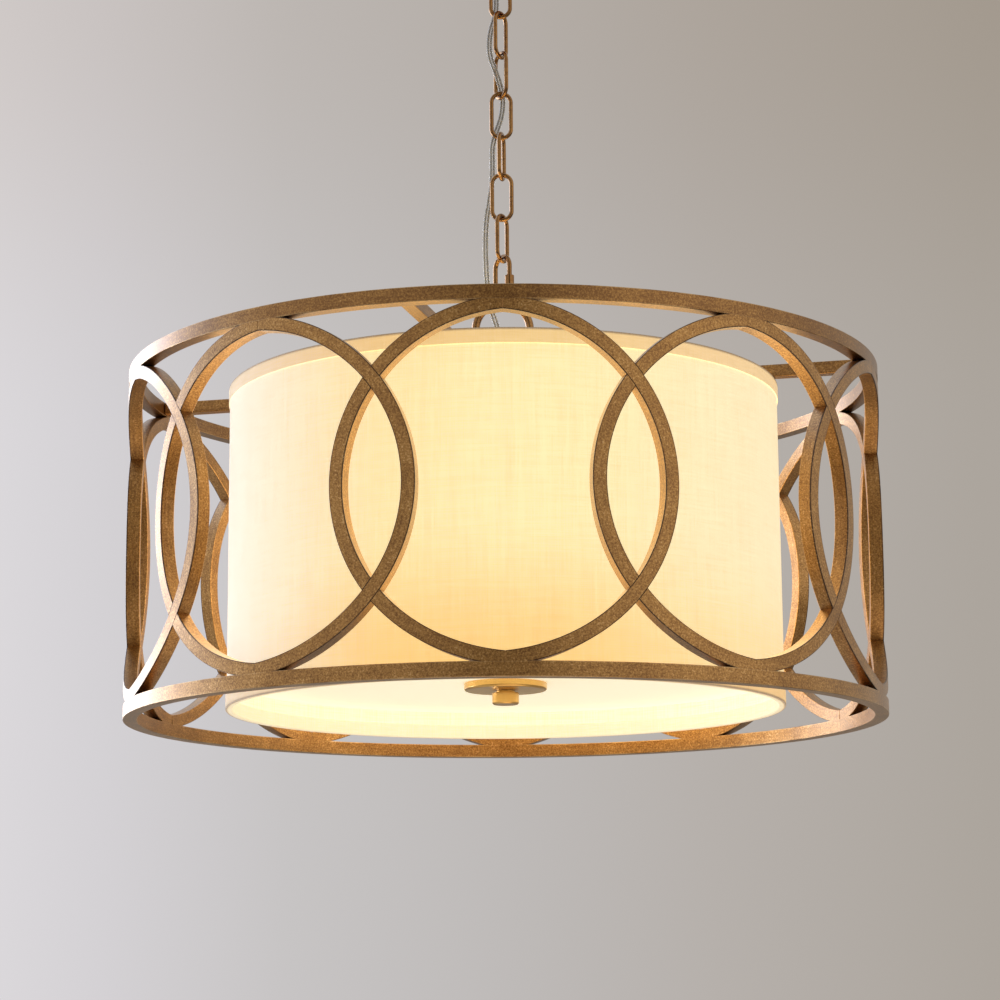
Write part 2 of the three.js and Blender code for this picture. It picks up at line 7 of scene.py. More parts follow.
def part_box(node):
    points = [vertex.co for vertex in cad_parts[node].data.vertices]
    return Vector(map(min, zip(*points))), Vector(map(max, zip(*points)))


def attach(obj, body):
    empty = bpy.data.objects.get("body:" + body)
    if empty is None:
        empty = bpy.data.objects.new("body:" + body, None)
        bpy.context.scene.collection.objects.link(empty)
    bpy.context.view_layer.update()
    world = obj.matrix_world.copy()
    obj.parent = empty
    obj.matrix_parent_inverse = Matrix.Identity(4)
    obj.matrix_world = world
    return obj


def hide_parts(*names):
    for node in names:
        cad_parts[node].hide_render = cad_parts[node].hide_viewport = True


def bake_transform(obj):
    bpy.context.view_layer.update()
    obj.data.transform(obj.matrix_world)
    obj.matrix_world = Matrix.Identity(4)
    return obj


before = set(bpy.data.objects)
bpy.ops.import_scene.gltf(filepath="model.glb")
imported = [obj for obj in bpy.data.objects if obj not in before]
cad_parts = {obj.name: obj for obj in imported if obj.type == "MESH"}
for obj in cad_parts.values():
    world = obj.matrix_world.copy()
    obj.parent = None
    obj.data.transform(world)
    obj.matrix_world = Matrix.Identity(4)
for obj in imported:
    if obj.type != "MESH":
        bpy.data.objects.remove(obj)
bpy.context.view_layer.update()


# The camera stands about two metres in front of the light and a little under it, and looks up with
# a long lens. The cage's middle is the height that the photograph's lines were measured from.
top_ring_low, top_ring_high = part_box("top_ring")
bottom_ring_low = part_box("bottom_ring")[0]
cage_middle = (top_ring_high[2] + bottom_ring_low[2]) / 2
camera_distance = 2.108
camera_drop = 0.361
camera_turn = 0.09
camera_rise = 10.8
camera_tilt = -0.42


def linked(name, data):
    """A new object in the scene with its data."""
    made = bpy.data.objects.new(name, data)
    bpy.context.scene.collection.objects.link(made)
    return made


camera_data = bpy.data.cameras.new("camera")
camera_data.sensor_width = 36
camera_data.lens = 96.26
camera_data.clip_end = 60
camera = linked("camera", camera_data)
camera.matrix_world = (
    Matrix.Translation((0, -camera_distance, cage_middle - camera_drop))
    @ Matrix.Rotation(radians(camera_turn), 4, "Z")
    @ Matrix.Rotation(radians(90 + camera_rise), 4, "X")
    @ Matrix.Rotation(radians(camera_tilt), 4, "Z")
)
bpy.context.scene.camera = camera


# The cross bar is a pressed steel strip with rounded ends. Two screws of the ceiling box go through
# its outer holes, and the nipple and the earth screw through the inner ones.
def alone(*pieces):
    """Leaves edit mode and selects only these pieces, the last one active."""
    if bpy.context.mode != "OBJECT":
        bpy.ops.object.mode_set(mode="OBJECT")
    bpy.ops.object.select_all(action="DESELECT")
    for piece in pieces:
        piece.select_set(True)
        bpy.context.view_layer.objects.active = piece


def added(maker, **settings):
    """The piece that one of Blender's makers adds, with its place and turn in the mesh."""
    alone()
    maker(**settings)
    bpy.ops.object.transform_apply()
    return bpy.context.object


def applied(piece, kind, **settings):
    """Puts one modifier on a piece and applies it."""
    alone(piece)
    modifier = piece.modifiers.new(kind.lower(), kind)
    for name, value in settings.items():
        setattr(modifier, name, value)
    bpy.ops.object.modifier_apply(modifier=modifier.name)


def cut(piece, tool, operation="DIFFERENCE"):
    """Cuts a piece with a tool, or joins them, and throws the tool away."""
    applied(piece, "BOOLEAN", object=tool, operation=operation, solver="EXACT")
    bpy.data.objects.remove(tool)


def rounded(piece, width, segments=3, angle=40):
    """Rounds the sharp edges of a piece."""
    limit = {"limit_method": "ANGLE", "angle_limit": radians(angle)}
    applied(piece, "BEVEL", width=width, segments=segments, **limit)


def rod(radius, bottom, top, x=0, sides=48):
    """An upright round bar between two heights."""
    size = {"vertices": sides, "radius": radius, "depth": top - bottom}
    middle = (x, 0, (top + bottom) / 2)
    return added(bpy.ops.mesh.primitive_cylinder_add, location=middle, **size)


def block(low, high):
    """A square block between two corners."""
    size = [b - a for a, b in zip(low, high)]
    middle = [(a + b) / 2 for a, b in zip(low, high)]
    return added(bpy.ops.mesh.primitive_cube_add, size=1, location=middle, scale=size)


def settled(piece, name, body, slot, finish, *nodes, smooth=35):
    """Names a piece, gives it its finish, hangs it on its body and hides what it replaces."""
    alone(piece)
    bpy.ops.object.shade_smooth_by_angle(angle=radians(smooth))
    applied(piece, "WEIGHTED_NORMAL", keep_sharp=True)
    piece.name = name
    piece.data.name = name
    piece.data.materials.clear()
    piece.data.materials.append(finish)
    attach(piece, body)
    if nodes:
        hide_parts(*nodes)


def paint(code):
    """A colour from its six-digit code, as light adds up."""
    shares = [int(code[i : i + 2], 16) / 255 for i in (0, 2, 4)]
    linear = [c / 12.92 if c <= 0.04045 else ((c + 0.055) / 1.055) ** 2.4 for c in shares]
    return (*linear, 1)


def sum_of(operation, swapped=False):
    """A method that does one sum with a flow first, or last if swapped."""
    def method(flow, *others):
        values = (*others, flow) if swapped else (flow, *others)
        return flow.nodes.math(operation, *values)
    return method


class Flow:
    """One value or colour that runs through a node tree, so that patterns are written as sums."""

    def __init__(self, nodes, socket):
        self.nodes = nodes
        self.socket = socket

    __add__ = sum_of("ADD")
    __radd__ = sum_of("ADD")
    __sub__ = sum_of("SUBTRACT")
    __rsub__ = sum_of("SUBTRACT", swapped=True)
    __mul__ = sum_of("MULTIPLY")
    __truediv__ = sum_of("DIVIDE")
    __pow__ = sum_of("POWER")
    sine = sum_of("SINE")
    size = sum_of("ABSOLUTE")

    def ramp(self, low, high, kind="SMOOTHSTEP"):
        """Rises from 0 at low to 1 at high, smoothly unless kind is LINEAR."""
        inputs = {0: self, 1: low, 2: high}
        return self.nodes.node("ShaderNodeMapRange", {"interpolation_type": kind}, inputs)


class Nodes:
    """A node tree in the making, with its one maker of nodes."""

    def __init__(self, tree):
        self.tree = tree

    def node(self, kind, settings=None, inputs=None, output=0):
        """Adds one node, sets it up, feeds its sockets and returns one output. A socket takes a
        flow, a number, a colour or a colour's code."""
        made = self.tree.nodes.new(kind)
        for key, value in (settings or {}).items():
            setattr(made, key, value)
        for key, value in (inputs or {}).items():
            if isinstance(value, Flow):
                self.tree.links.new(value.socket, made.inputs[key])
            else:
                made.inputs[key].default_value = paint(value) if isinstance(value, str) else value
        return Flow(self, made.outputs[output])

    def math(self, operation, *values):
        return self.node("ShaderNodeMath", {"operation": operation}, dict(enumerate(values)))

    def axes(self, vector):
        return [self.node("ShaderNodeSeparateXYZ", inputs={0: vector}, output=i) for i in range(3)]

    def mix(self, share, first, second, blend="MIX"):
        """A colour between two others, or their product if blend is MULTIPLY."""
        settings = {"data_type": "RGBA", "blend_type": blend}
        return self.node("ShaderNodeMix", settings, {0: share, 6: first, 7: second}, output=2)

    def end(self, flow, name):
        """Feeds the tree's output node."""
        self.tree.links.new(flow.socket, self.tree.nodes[name].inputs[0])


class Finish(Nodes):
    """A material in the making, with its surface shader and the object's coordinates."""

    def __init__(self, name, **settings):
        self.material = bpy.data.materials.new(name)
        self.material.use_nodes = True
        super().__init__(self.material.node_tree)
        self.surface = self.tree.nodes["Principled BSDF"]
        self.point = self.node("ShaderNodeTexCoord", output=3)
        self.x, self.y, self.z = self.axes(self.point)
        for key, value in settings.items():
            self.socket(key).default_value = value

    def socket(self, key):
        """The surface's socket with a name such as coat_weight."""
        return self.surface.inputs[key.replace("_", " ").title().replace("Ior", "IOR")]

    def vector(self, x, y, z):
        return self.node("ShaderNodeCombineXYZ", inputs={0: x, 1: y, 2: z})

    def scaled(self, x, y, z):
        """The object's coordinates, each times a number."""
        return self.vector(self.x * x, self.y * y, self.z * z)

    def reach(self):
        """The distance from the upright axis."""
        return (self.x * self.x + self.y * self.y) ** 0.5

    def aligned(self, turn):
        """The distances along and across a level line, turned from the x axis by turn radians."""
        along = self.x * cos(turn) + self.y * sin(turn)
        return along, self.y * cos(turn) - self.x * sin(turn)

    def noise(self, vector=None, scale=1.0, detail=2.0, roughness=0.5, w=None):
        """Cloudy noise from 0 to 1; w is a fourth direction that it also varies in."""
        inputs = {"Vector": vector or self.point, "Scale": scale, "Detail": detail}
        inputs["Roughness"] = roughness
        if w:
            inputs["W"] = w
        return self.node("ShaderNodeTexNoise", {"noise_dimensions": "4D" if w else "3D"}, inputs)

    def wear(self, **flows):
        """Feeds the surface's sockets."""
        for key, flow in flows.items():
            self.tree.links.new(flow.socket, self.socket(key))
        return self

    def mottle(self, cloud, first, second, least, rise):
        """Wears a colour and a roughness, from least up by rise, that vary with a cloud."""
        self.wear(base_color=self.mix(cloud, first, second), roughness=least + cloud * rise)

    def bump(self, height, distance):
        """Raises the surface by a pattern."""
        inputs = {"Height": height, "Distance": distance, "Strength": 1.0}
        return self.wear(normal=self.node("ShaderNodeBump", inputs=inputs))


def zinc_finish():
    """Zinc plate: cool grey with faint crystals and rub marks."""
    finish = Finish("zinc_plate", metallic=1)
    cloud = finish.noise(scale=90, detail=4)
    grain = finish.noise(finish.scaled(60, 900, 900))
    finish.wear(
        base_color=finish.mix(cloud, "8f918e", "c4c5bf"),
        roughness=0.3 + cloud * 0.16 + grain * 0.08,
    )
    return finish.bump(grain, 0.00004).material


zinc = zinc_finish()
clear_bore = 0.0053
screw_hole = 0.0023
slot_hole = 0.0021
box_screw_x = 0.0445
bar_low, bar_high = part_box("mounting_bar")
bar = block(bar_low, bar_high)
edge_heights = [[bar.data.vertices[i].co.z for i in edge.vertices] for edge in bar.data.edges]
corner_weight = bar.data.attributes.new("bevel_weight_edge", "FLOAT", "EDGE")
corner_weight.data.foreach_set("value", [float(abs(a - b) > 0.001) for a, b in edge_heights])
applied(bar, "BEVEL", width=0.0085, segments=8, limit_method="WEIGHT")
for hole, *places in (
    (clear_bore, 0),
    (screw_hole, box_screw_x, -box_screw_x, 0.024),
    (slot_hole, -0.024, -0.032),
):
    for x in places:
        cut(bar, rod(hole, bar_low[2] - 0.003, 0.003, x))
rounded(bar, 0.0004, segments=2)
settled(bar, "cross_bar", "ceiling_mount", "steel", zinc, "mounting_bar")


# The nipple is a hollow threaded tube, held in the bar by a hexagon nut. The earth screw is a green
# plated pan head with a slot.
def picked(piece, test=lambda point: True):
    """Goes into edit mode with those vertices of a piece selected whose place passes a test."""
    alone(piece)
    for part in (piece.data.vertices, piece.data.edges, piece.data.polygons):
        part.foreach_set("select", [False] * len(part))
    for vertex in piece.data.vertices:
        vertex.select = test(vertex.co)
    bpy.ops.object.mode_set(mode="EDIT")
    bpy.ops.mesh.select_mode(type="VERT")


def faces_out():
    """Turns all faces outward and leaves edit mode."""
    bpy.ops.mesh.select_all(action="SELECT")
    bpy.ops.mesh.normals_make_consistent(inside=False)
    bpy.ops.object.mode_set(mode="OBJECT")


def turned(outline, steps):
    """Spins an outline of (radius, height) points round the upright axis, as on a lathe. An outline
    that begins off the axis is closed."""
    if outline[0][0]:
        outline = [*outline, outline[0]]
    piece = added(bpy.ops.mesh.primitive_plane_add, size=1)
    picked(piece)
    bpy.ops.mesh.merge(type="CENTER")
    bpy.ops.transform.translate(value=(outline[0][0], 0, outline[0][1]))
    for here, there in zip(outline, outline[1:]):
        step = (there[0] - here[0], 0, there[1] - here[1])
        bpy.ops.mesh.extrude_vertices_move(TRANSFORM_OT_translate={"value": step})
    bpy.ops.mesh.select_all(action="SELECT")
    bpy.ops.mesh.spin(steps=steps, angle=tau, center=(0, 0, 0), axis=(0, 0, 1))
    bpy.ops.mesh.select_all(action="SELECT")
    bpy.ops.mesh.remove_doubles(threshold=1e-6)
    faces_out()
    return piece


def raised(height, *points):
    """Outline points whose heights are counted from one height."""
    return [(radius, height + rise) for radius, rise in points]


def threads(radius, depth, pitch, low, high):
    """Outline points of a screw thread, from low to high."""
    tooth = ((radius - depth, 0.1), (radius, 0.42), (radius, 0.58), (radius - depth, 0.9))
    count = int((high - low) / pitch)
    return [(side, low + (i + share) * pitch) for i in range(count) for side, share in tooth]


def moved(piece, x=0, y=0, z=0):
    """Shifts a piece's mesh."""
    piece.data.transform(Matrix.Translation((x, y, z)))
    return piece


pipe_bore = 0.0034
nut_bore = 0.0051


def threaded_tube(node):
    """A hollow tube with a thread over its whole length, as long and as wide as its node."""
    low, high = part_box(node)
    radius = (high[0] - low[0]) / 2
    outline = [(pipe_bore, low[2]), (radius - 0.0005, low[2])]
    outline += threads(radius, 0.0004, 0.001, low[2] + 0.0004, high[2] - 0.0004)
    return turned([*outline, (radius - 0.0005, high[2]), (pipe_bore, high[2])], 40)


def hexagon_nut(node, bore=nut_bore):
    """A six-sided nut with its corners turned off, as large as its node."""
    low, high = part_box(node)
    corner = (high[1] - low[1]) / 2
    inset = corner * 0.12
    nut = rod(corner, low[2], high[2], sides=6)
    cone = raised(low[2], (0, 0), (corner - inset, 0), (corner, inset * 0.6))
    cone += raised(high[2], (corner, -inset * 0.6), (corner - inset, 0), (0, 0))
    cut(nut, turned(cone, 48), "INTERSECT")
    cut(nut, rod(bore, low[2] - 0.002, high[2] + 0.002))
    rounded(nut, 0.00025, segments=2, angle=25)
    return moved(nut, x=(low[0] + high[0]) / 2)


nipple = threaded_tube("nipple")
settled(nipple, "threaded_nipple", "ceiling_mount", "steel", zinc, "nipple")
nipple_nut = hexagon_nut("nipple_nut")
settled(nipple_nut, "nipple_lock_nut", "ceiling_mount", "steel", zinc, "nipple_nut")

green_plate = Finish("green_plate", metallic=0.7)
green_plate.mottle(green_plate.noise(scale=700, detail=3), "2c5e33", "5c9a5a", 0.3, 0.2)
screw_low, screw_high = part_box("ground_screw")
screw_foot = screw_low[2]
screw_head = ((0, 0), (0.0028, 0.0001), (0.0037, 0.0008), (0.004, 0.0017), (0.004, 0.0026))
outline = raised(screw_foot, *screw_head)
outline += threads(0.002, 0.0003, 0.0006, screw_foot + 0.0027, screw_high[2] - 0.0001)
outline += raised(screw_high[2], (0.0016, 0), (0, 0))
earth_screw = turned(outline, 40)
cut(earth_screw, block((-0.006, -0.0005, screw_foot - 0.002), (0.006, 0.0005, screw_foot + 0.0011)))
moved(earth_screw, x=(screw_low[0] + screw_high[0]) / 2)
green = green_plate.material
settled(earth_screw, "earth_screw", "ceiling_mount", "green_steel", green, "ground_screw")


# The canopy is spun from thin sheet, with a small bead round its rim. The collar is screwed up the
# loop's barrel under it, and its edge is knurled so that fingers can turn it.
def bronze_finish(name, grain=None, edge=None, line=None, roughness=0.39, deeper_tone_and_shade=0.0, speckle=2.3):
    """Brushed antique bronze on steel: brown lacquer rubbed through to gold.

    grain is a function that gives the brushed streaks' flow from 0 to 1, edge one that gives where
    the edges are painted brighter, as rubbed wear and a painted highlight, and line one that gives
    where the colour is darker along the edges.
    The darkening argument gives the chain's wire a deeper tone and the top ring painted shade, and
    speckle is how strongly it is speckled.
    """
    finish = Finish(name, metallic=1, coat_weight=0.6, coat_roughness=0.3, coat_ior=1.6)
    cloud = finish.noise(scale=38, detail=3, roughness=0.6)
    speck = finish.noise(scale=760, detail=3, roughness=0.75)
    streak = grain(finish) if grain else finish.noise(scale=420, detail=3)
    tone = (streak - 0.5) * 0.6 + (cloud - 0.5) * 0.6 + (speck - 0.5) * speckle + 0.5 - deeper_tone_and_shade
    brown = finish.mix(tone.ramp(0.0, 1.0), "7c5426", "c89956")
    if line:
        brown = finish.mix(line(finish) * cloud.ramp(0.2, 0.5), brown, "3b2412")
    rub_and_highlight = tone.ramp(0.7, 1.15) * 0.7
    # Along the edges the colour is painted brighter: rubbed wear, and a painted highlight.
    if edge:
        rub_and_highlight = rub_and_highlight + edge(finish) * cloud.ramp(0.35, 0.6) * 0.35
    finish.wear(
        base_color=finish.mix(rub_and_highlight, brown, "ecd3a4"),
        roughness=roughness - rub_and_highlight * 0.1 + (speck - 0.5) * 0.2 + (streak - 0.5) * 0.08,
    )
    return finish.bump(streak * 0.6 + speck, 0.00008).material


def turned_grain(finish):
    """Streaks round the upright axis, as a lathe leaves them."""
    flat = finish.scaled(30, 30, 620)
    return finish.noise(flat, detail=3, roughness=0.65, w=finish.reach() * 620)


def arc(radius, height, reach, start, end, count):
    """Points of an outline along an arc about (radius, height), between two angles in degrees."""
    turns = [radians(start + (end - start) * i / count) for i in range(count + 1)]
    return [(radius + reach * cos(turn), height + reach * sin(turn)) for turn in turns]


def extent(node):
    """The foot, top and radius of a round node on the axis."""
    low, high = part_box(node)
    return low[2], high[2], high[0]


turned_bronze = bronze_finish("bronze_turned", turned_grain)
canopy_floor, _, canopy_radius = extent("canopy")
canopy_hole = 0.0134
dish_centre = (canopy_radius - 0.0142, canopy_floor + 0.011)
outline = raised(canopy_floor, (canopy_hole, 0.0012), (canopy_hole, 0), (0.0262, 0))
outline += raised(canopy_floor, (0.0268, 0.0006), (0.0284, 0.0006), (0.029, 0))
outline += arc(*dish_centre, 0.011, -90, -8, 14)
outline += [(canopy_radius - 0.0011, -0.0042), (canopy_radius - 0.0012, -0.0034)]
outline += arc(canopy_radius - 0.0014, -0.0017, 0.0014, -70, 70, 6)
outline += [(canopy_radius - 0.0016, 0), (canopy_radius - 0.0024, 0)]
outline += [(canopy_radius - 0.0024, -0.0042)]
outline += arc(*dish_centre, 0.0098, -8, -90, 12)
outline += [(0.0295, canopy_floor + 0.0012)]
canopy = turned(outline, 144)
settled(canopy, "spun_canopy", "canopy_cover", "bronze", turned_bronze, "canopy")

collar_foot, collar_top, collar_outer = extent("collar_ring")
collar_edge = collar_outer - 0.0003
collar_bore = 0.0128
collar_lip = collar_top - 0.0026
outline = raised(collar_top, (collar_bore, 0), (collar_edge, 0), (collar_outer, -0.0003))
outline += raised(collar_lip, (collar_outer, 0.0003), (collar_edge, 0), (0.0164, 0))
outline += arc(0.0164, collar_lip - 0.0004, 0.0004, 90, 180, 3)
outline += raised(collar_foot, (0.016, 0.0004), (0.0156, 0), (collar_bore, 0))
collar = turned(outline, 180)
for vertex in collar.data.vertices:
    spoke = round(atan2(vertex.co.y, vertex.co.x) / tau * 180)
    if vertex.co.xy.length > collar_outer - 0.0004 and spoke % 2:
        vertex.co.xy *= 0.978
settled(collar, "knurled_collar", "collar", "bronze", turned_bronze, "collar_ring", smooth=20)


# The loop is one casting: a bored barrel that goes up through the canopy's hole, and under it a
# ring that holds the first chain link.
def torus(radius, wire, steps, sides, **place):
    """A ring of round wire."""
    size = {"major_radius": radius, "minor_radius": wire}
    facets = {"major_segments": steps, "minor_segments": sides}
    return added(bpy.ops.mesh.primitive_torus_add, **size, **facets, **place)


plain_bronze = bronze_finish("bronze_cast")
loop_foot, barrel_top, barrel_radius = extent("canopy_loop")
barrel_bottom = -0.034
ring_wire = 0.0023
outline = raised(barrel_top, (pipe_bore, 0), (barrel_radius - 0.0006, 0))
outline += [(barrel_radius - 0.0004, barrel_bottom + rise) for rise in (0.0036, 0.0012)]
outline += raised(barrel_bottom, (barrel_radius - 0.0014, 0), (pipe_bore, 0))
loop = turned(outline, 64)
loop_ring = torus(
    barrel_radius - ring_wire,
    ring_wire,
    72,
    20,
    location=(0, 0, loop_foot + barrel_radius),
    rotation=(0, pi / 2, 0),
)
cut(loop_ring, rod(0.0042, barrel_bottom - 0.004, barrel_bottom + 0.01))
cut(loop, loop_ring, "UNION")
settled(loop, "canopy_loop_casting", "ceiling_mount", "bronze", plain_bronze, "canopy_loop")


# Each chain link is bent from round wire and closed by a butt weld in the middle of one side. The
# last one is longer and opens: a sleeve nut is screwed over the gap in its side.
def swung(piece, angle, axis="Z"):
    """Turns a piece's mesh about an axis through the origin, in degrees."""
    piece.data.transform(Matrix.Rotation(radians(angle), 4, axis))
    return piece


upright = (pi / 2, 0, 0)
weld_bead = ((-0.0009, 1), (-0.0004, 1.07), (0, 0.9), (0.0004, 1.07), (0.0009, 1))


def wire_link(node, wire, width, turn, weld_side=0):
    """A wire link as long as its node, with half-round ends, turned from the front by turn degrees.
    weld_side is 1 or -1 for the side that has the weld, or 0."""
    low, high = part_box(node)
    bend = width / 2 - wire
    straight = high[2] - low[2] - width
    link = torus(bend, wire, 56, 24, rotation=upright)
    picked(link, lambda point: point.z < -1e-6)
    bpy.ops.transform.translate(value=(0, 0, -straight))
    for offset, share in weld_bead if weld_side else ():
        height = offset - straight / 2
        middle = (weld_side * bend, 0, height)
        picked(link)
        bpy.ops.mesh.bisect(plane_co=(0, 0, height), plane_no=(0, 0, 1))
        picked(link, lambda point: abs(point.z - height) < 1e-5 and point.x * weld_side > 0)
        bpy.ops.transform.resize(value=(share, share, 1), center_override=middle)
    alone()
    return swung(moved(link, z=high[2] - width / 2), turn)


def disc(foot, top, radius, corner, steps, bore=clear_bore, count=4):
    """A bored disc with rounded outer edges."""
    outline = [(bore, foot), *arc(radius - corner, foot + corner, corner, -90, 0, count)]
    outline += arc(radius - corner, top - corner, corner, 0, 90, count)
    return turned([*outline, (bore, top)], steps)


link_wire = 0.00175
link_width = 0.0195
link_turns = (-4, 57, 123, 184, 256, 359, 420)
screw_link_wire = 0.002
screw_link_width = 0.023
screw_link_turn = 127
wire_bronze = bronze_finish("bronze_wire", roughness=0.15, deeper_tone_and_shade=0.22, speckle=0.8)
for i, link_turn in enumerate(link_turns, 1):
    node = f"chain_link_{i}"
    link = wire_link(node, link_wire, link_width, link_turn, weld_side=-1 if i % 2 else 1)
    settled(link, f"wire_link_{i}", f"link_{i}", "bronze", wire_bronze, node)
screw_link = wire_link("screw_link", screw_link_wire, screw_link_width, screw_link_turn)
settled(screw_link, "opening_link", "lower_link", "bronze", wire_bronze, "screw_link")

sleeve_low, sleeve_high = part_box("screw_link_sleeve")
sleeve = disc(sleeve_low[2], sleeve_high[2], 0.004, 0.001, 48, bore=0.0023)
flats = rod(0.0043, sleeve_low[2] - 0.001, sleeve_high[2] + 0.001, sides=6)
cut(sleeve, flats, "INTERSECT")
moved(sleeve, (sleeve_low[0] + sleeve_high[0]) / 2, (sleeve_low[1] + sleeve_high[1]) / 2)
settled(sleeve, "sleeve_nut", "sleeve", "bronze", wire_bronze, "screw_link_sleeve")


# The bow is a round bar bent to an upturned U. It goes down through the hub, where nuts hold its
# threaded ends, and the opening link carries it at the top of its bend.
bow_low, bow_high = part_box("hang_bow")
bow_bar = 0.0033
bow_bend = 0.022
bow_centre = bow_high[2] - bow_bar - bow_bend
bow = torus(bow_bend, bow_bar, 96, 24, rotation=upright)
picked(bow)
bpy.ops.mesh.bisect(plane_co=(0, 0, 0), plane_no=(0, 0, 1), clear_inner=True)
alone()
moved(bow, z=bow_centre)
picked(bow, lambda point: point.z < bow_centre + 1e-6)
bow_fall = bow_low[2] - bow_centre
bpy.ops.mesh.extrude_region_move(TRANSFORM_OT_translate={"value": (0, 0, bow_fall)})
bpy.ops.mesh.select_all(action="DESELECT")
bpy.ops.mesh.select_non_manifold()
bpy.ops.mesh.fill_holes(sides=0)
faces_out()
settled(bow, "hanging_bow", "fixture", "bronze", wire_bronze, "hang_bow")
for side in ("left", "right"):
    nut = hexagon_nut(f"bow_nut_{side}", bow_bar + 0.0001)
    settled(nut, f"bow_nut_{side}_hexagon", "fixture", "steel", zinc, f"bow_nut_{side}")


# The hub is a thick turned disc. Four square bars are welded to it and run out to the top ring, so
# that they make a cross over the shade.
hub_foot, hub_top, hub_radius = extent("hub")
hub = disc(hub_foot, hub_top, hub_radius, 0.0012, 96)
for x in (-bow_bend, bow_bend):
    cut(hub, rod(bow_bar + 0.0003, hub_foot - 0.002, hub_top + 0.002, x))
settled(hub, "hub_disc", "fixture", "bronze", turned_bronze, "hub")

arm_start = 0.0346
arm_end = 0.28866
arm_half_width = 0.005
arm_turns = (-103.5, -13.5, 76.5, 166.5)


def arm_grain(turn):
    """Streaks along a bar that points the way that turn gives, in radians."""
    def grain(finish):
        along, across = finish.aligned(turn)
        return finish.noise(finish.vector(along * 30, across * 620, finish.z * 620), detail=3)
    return grain


for i, arm_turn in enumerate(arm_turns, 1):
    arm = block((arm_start, -arm_half_width, hub_foot), (arm_end, arm_half_width, hub_top))
    rounded(arm, 0.0009)
    swung(arm, arm_turn)
    finish = bronze_finish(f"bronze_arm_{i}", arm_grain(radians(arm_turn)))
    settled(arm, f"hub_bar_{i}", "fixture", "bronze", finish, f"hub_arm_{i}")


# The two rings are square bar rolled to a circle and welded. Their edges are broken with a file,
# and the hoops that are welded on are ground flush with them.
cage_radius = top_ring_high[0]
ring_height = top_ring_high[2] - top_ring_low[2]
ring_depth = 0.011
ring_inner = cage_radius - ring_depth
ring_middle = cage_radius - ring_depth / 2
ring_inner_edge = top_ring_low[2] - cage_middle
edge_round = 0.0005


def ring_edge_rub_and_highlight(finish):
    """Where the long edges of the rings are painted brighter, as rubbed wear and a painted
    highlight.
    """
    side = (finish.reach() - ring_middle).size()
    height = ((finish.z - cage_middle).size() - (ring_inner_edge + ring_height / 2)).size()
    near_side = side.ramp(ring_depth / 2 - 0.0011, ring_depth / 2 - 0.0001)
    return near_side * height.ramp(ring_height / 2 - 0.0011, ring_height / 2 - 0.0001)


# The top ring's finish is darkened as painted shade; the bottom ring's is not.
for name, low, deeper_tone_and_shade in (("top_ring", top_ring_low, 0.2), ("bottom_ring", bottom_ring_low, 0.0)):
    ring_bronze = bronze_finish(f"bronze_{name}", turned_grain, ring_edge_rub_and_highlight, deeper_tone_and_shade=deeper_tone_and_shade)
    outline = raised(low[2], (ring_inner, 0), (cage_radius, 0))
    outline += raised(low[2], (cage_radius, ring_height), (ring_inner, ring_height))
    ring = turned(outline, 360)
    rounded(ring, edge_round, segments=2)
    settled(ring, f"{name}_bar", "fixture", "bronze", ring_bronze, name, smooth=50)


# Ten flat bars are bent to ovals in two halves, which meet in a shallow point at the top and the
# foot, and curved to the rings. They are halved into each other where they cross, cut level where
# they meet the rings, and welded all over the joints.
hoop_count = 10
hoop_half_width = 0.12645
hoop_half_height = 0.1305
hoop_point = 0.014
hoop_facets = 176
strap_width = 0.0103
strap_cut = ring_inner_edge + 0.0006
strap_inset = 0.00003
lap_gap = 0.00006
pitch_turn = 360 / hoop_count


def oval(trim):
    """Half the width and height of the oval that a hoop's half is part of, let out by trim."""
    reach = hoop_half_width + trim + hoop_point
    return reach, (hoop_half_height + trim) / cos(asin(hoop_point / reach))


def strap(extra, near, far, bevel=0.0):
    """A hoop's bar, widened by extra, from the depth near to far, with its middle at the front."""
    hoop = added(
        bpy.ops.mesh.primitive_circle_add, vertices=hoop_facets, radius=1, rotation=upright
    )
    wide, tall = oval(extra)
    inner_wide, inner_tall = oval(-strap_width - extra)
    shrink = (inner_wide / wide, 1, inner_tall / tall)
    middle = (0, 0, 0)
    picked(hoop)
    bpy.ops.transform.resize(value=(wide, 1, tall), center_override=middle)
    bpy.ops.mesh.extrude_edges_move(TRANSFORM_OT_translate={"value": middle})
    bpy.ops.transform.resize(value=shrink, center_override=middle)
    bpy.ops.mesh.select_all(action="SELECT")
    bpy.ops.transform.translate(value=(-hoop_point, 0, 0))
    bpy.ops.mesh.bisect(plane_co=middle, plane_no=(1, 0, 0), clear_inner=True)
    applied(hoop, "MIRROR", use_axis=(True, False, False), merge_threshold=1e-5)
    picked(hoop)
    bpy.ops.mesh.remove_doubles(threshold=1e-5)
    bpy.ops.mesh.extrude_region_move(TRANSFORM_OT_translate={"value": (0, near - far, 0)})
    faces_out()
    moved(hoop, y=cage_radius - near)
    if bevel:
        rounded(hoop, bevel)
    bend = {"deform_method": "BEND", "deform_axis": "Z", "angle": hoop.dimensions.x / cage_radius}
    applied(hoop, "SIMPLE_DEFORM", **bend)
    return moved(hoop, y=-cage_radius)


hoop = strap(0, ring_inner + strap_inset, cage_radius - strap_inset, edge_round)
inner_tool = strap(lap_gap, ring_inner - 0.004, ring_middle + lap_gap / 2)
outer_tool = strap(lap_gap, ring_middle - lap_gap / 2, cage_radius + 0.004)
cut(hoop, swung(inner_tool, pitch_turn))
cut(hoop, swung(outer_tool, -pitch_turn))
for side in (-1, 1):
    picked(hoop)
    plane = {"plane_co": (0, 0, side * strap_cut), "plane_no": (0, 0, side)}
    bpy.ops.mesh.bisect(clear_outer=True, use_fill=True, **plane)
alone()


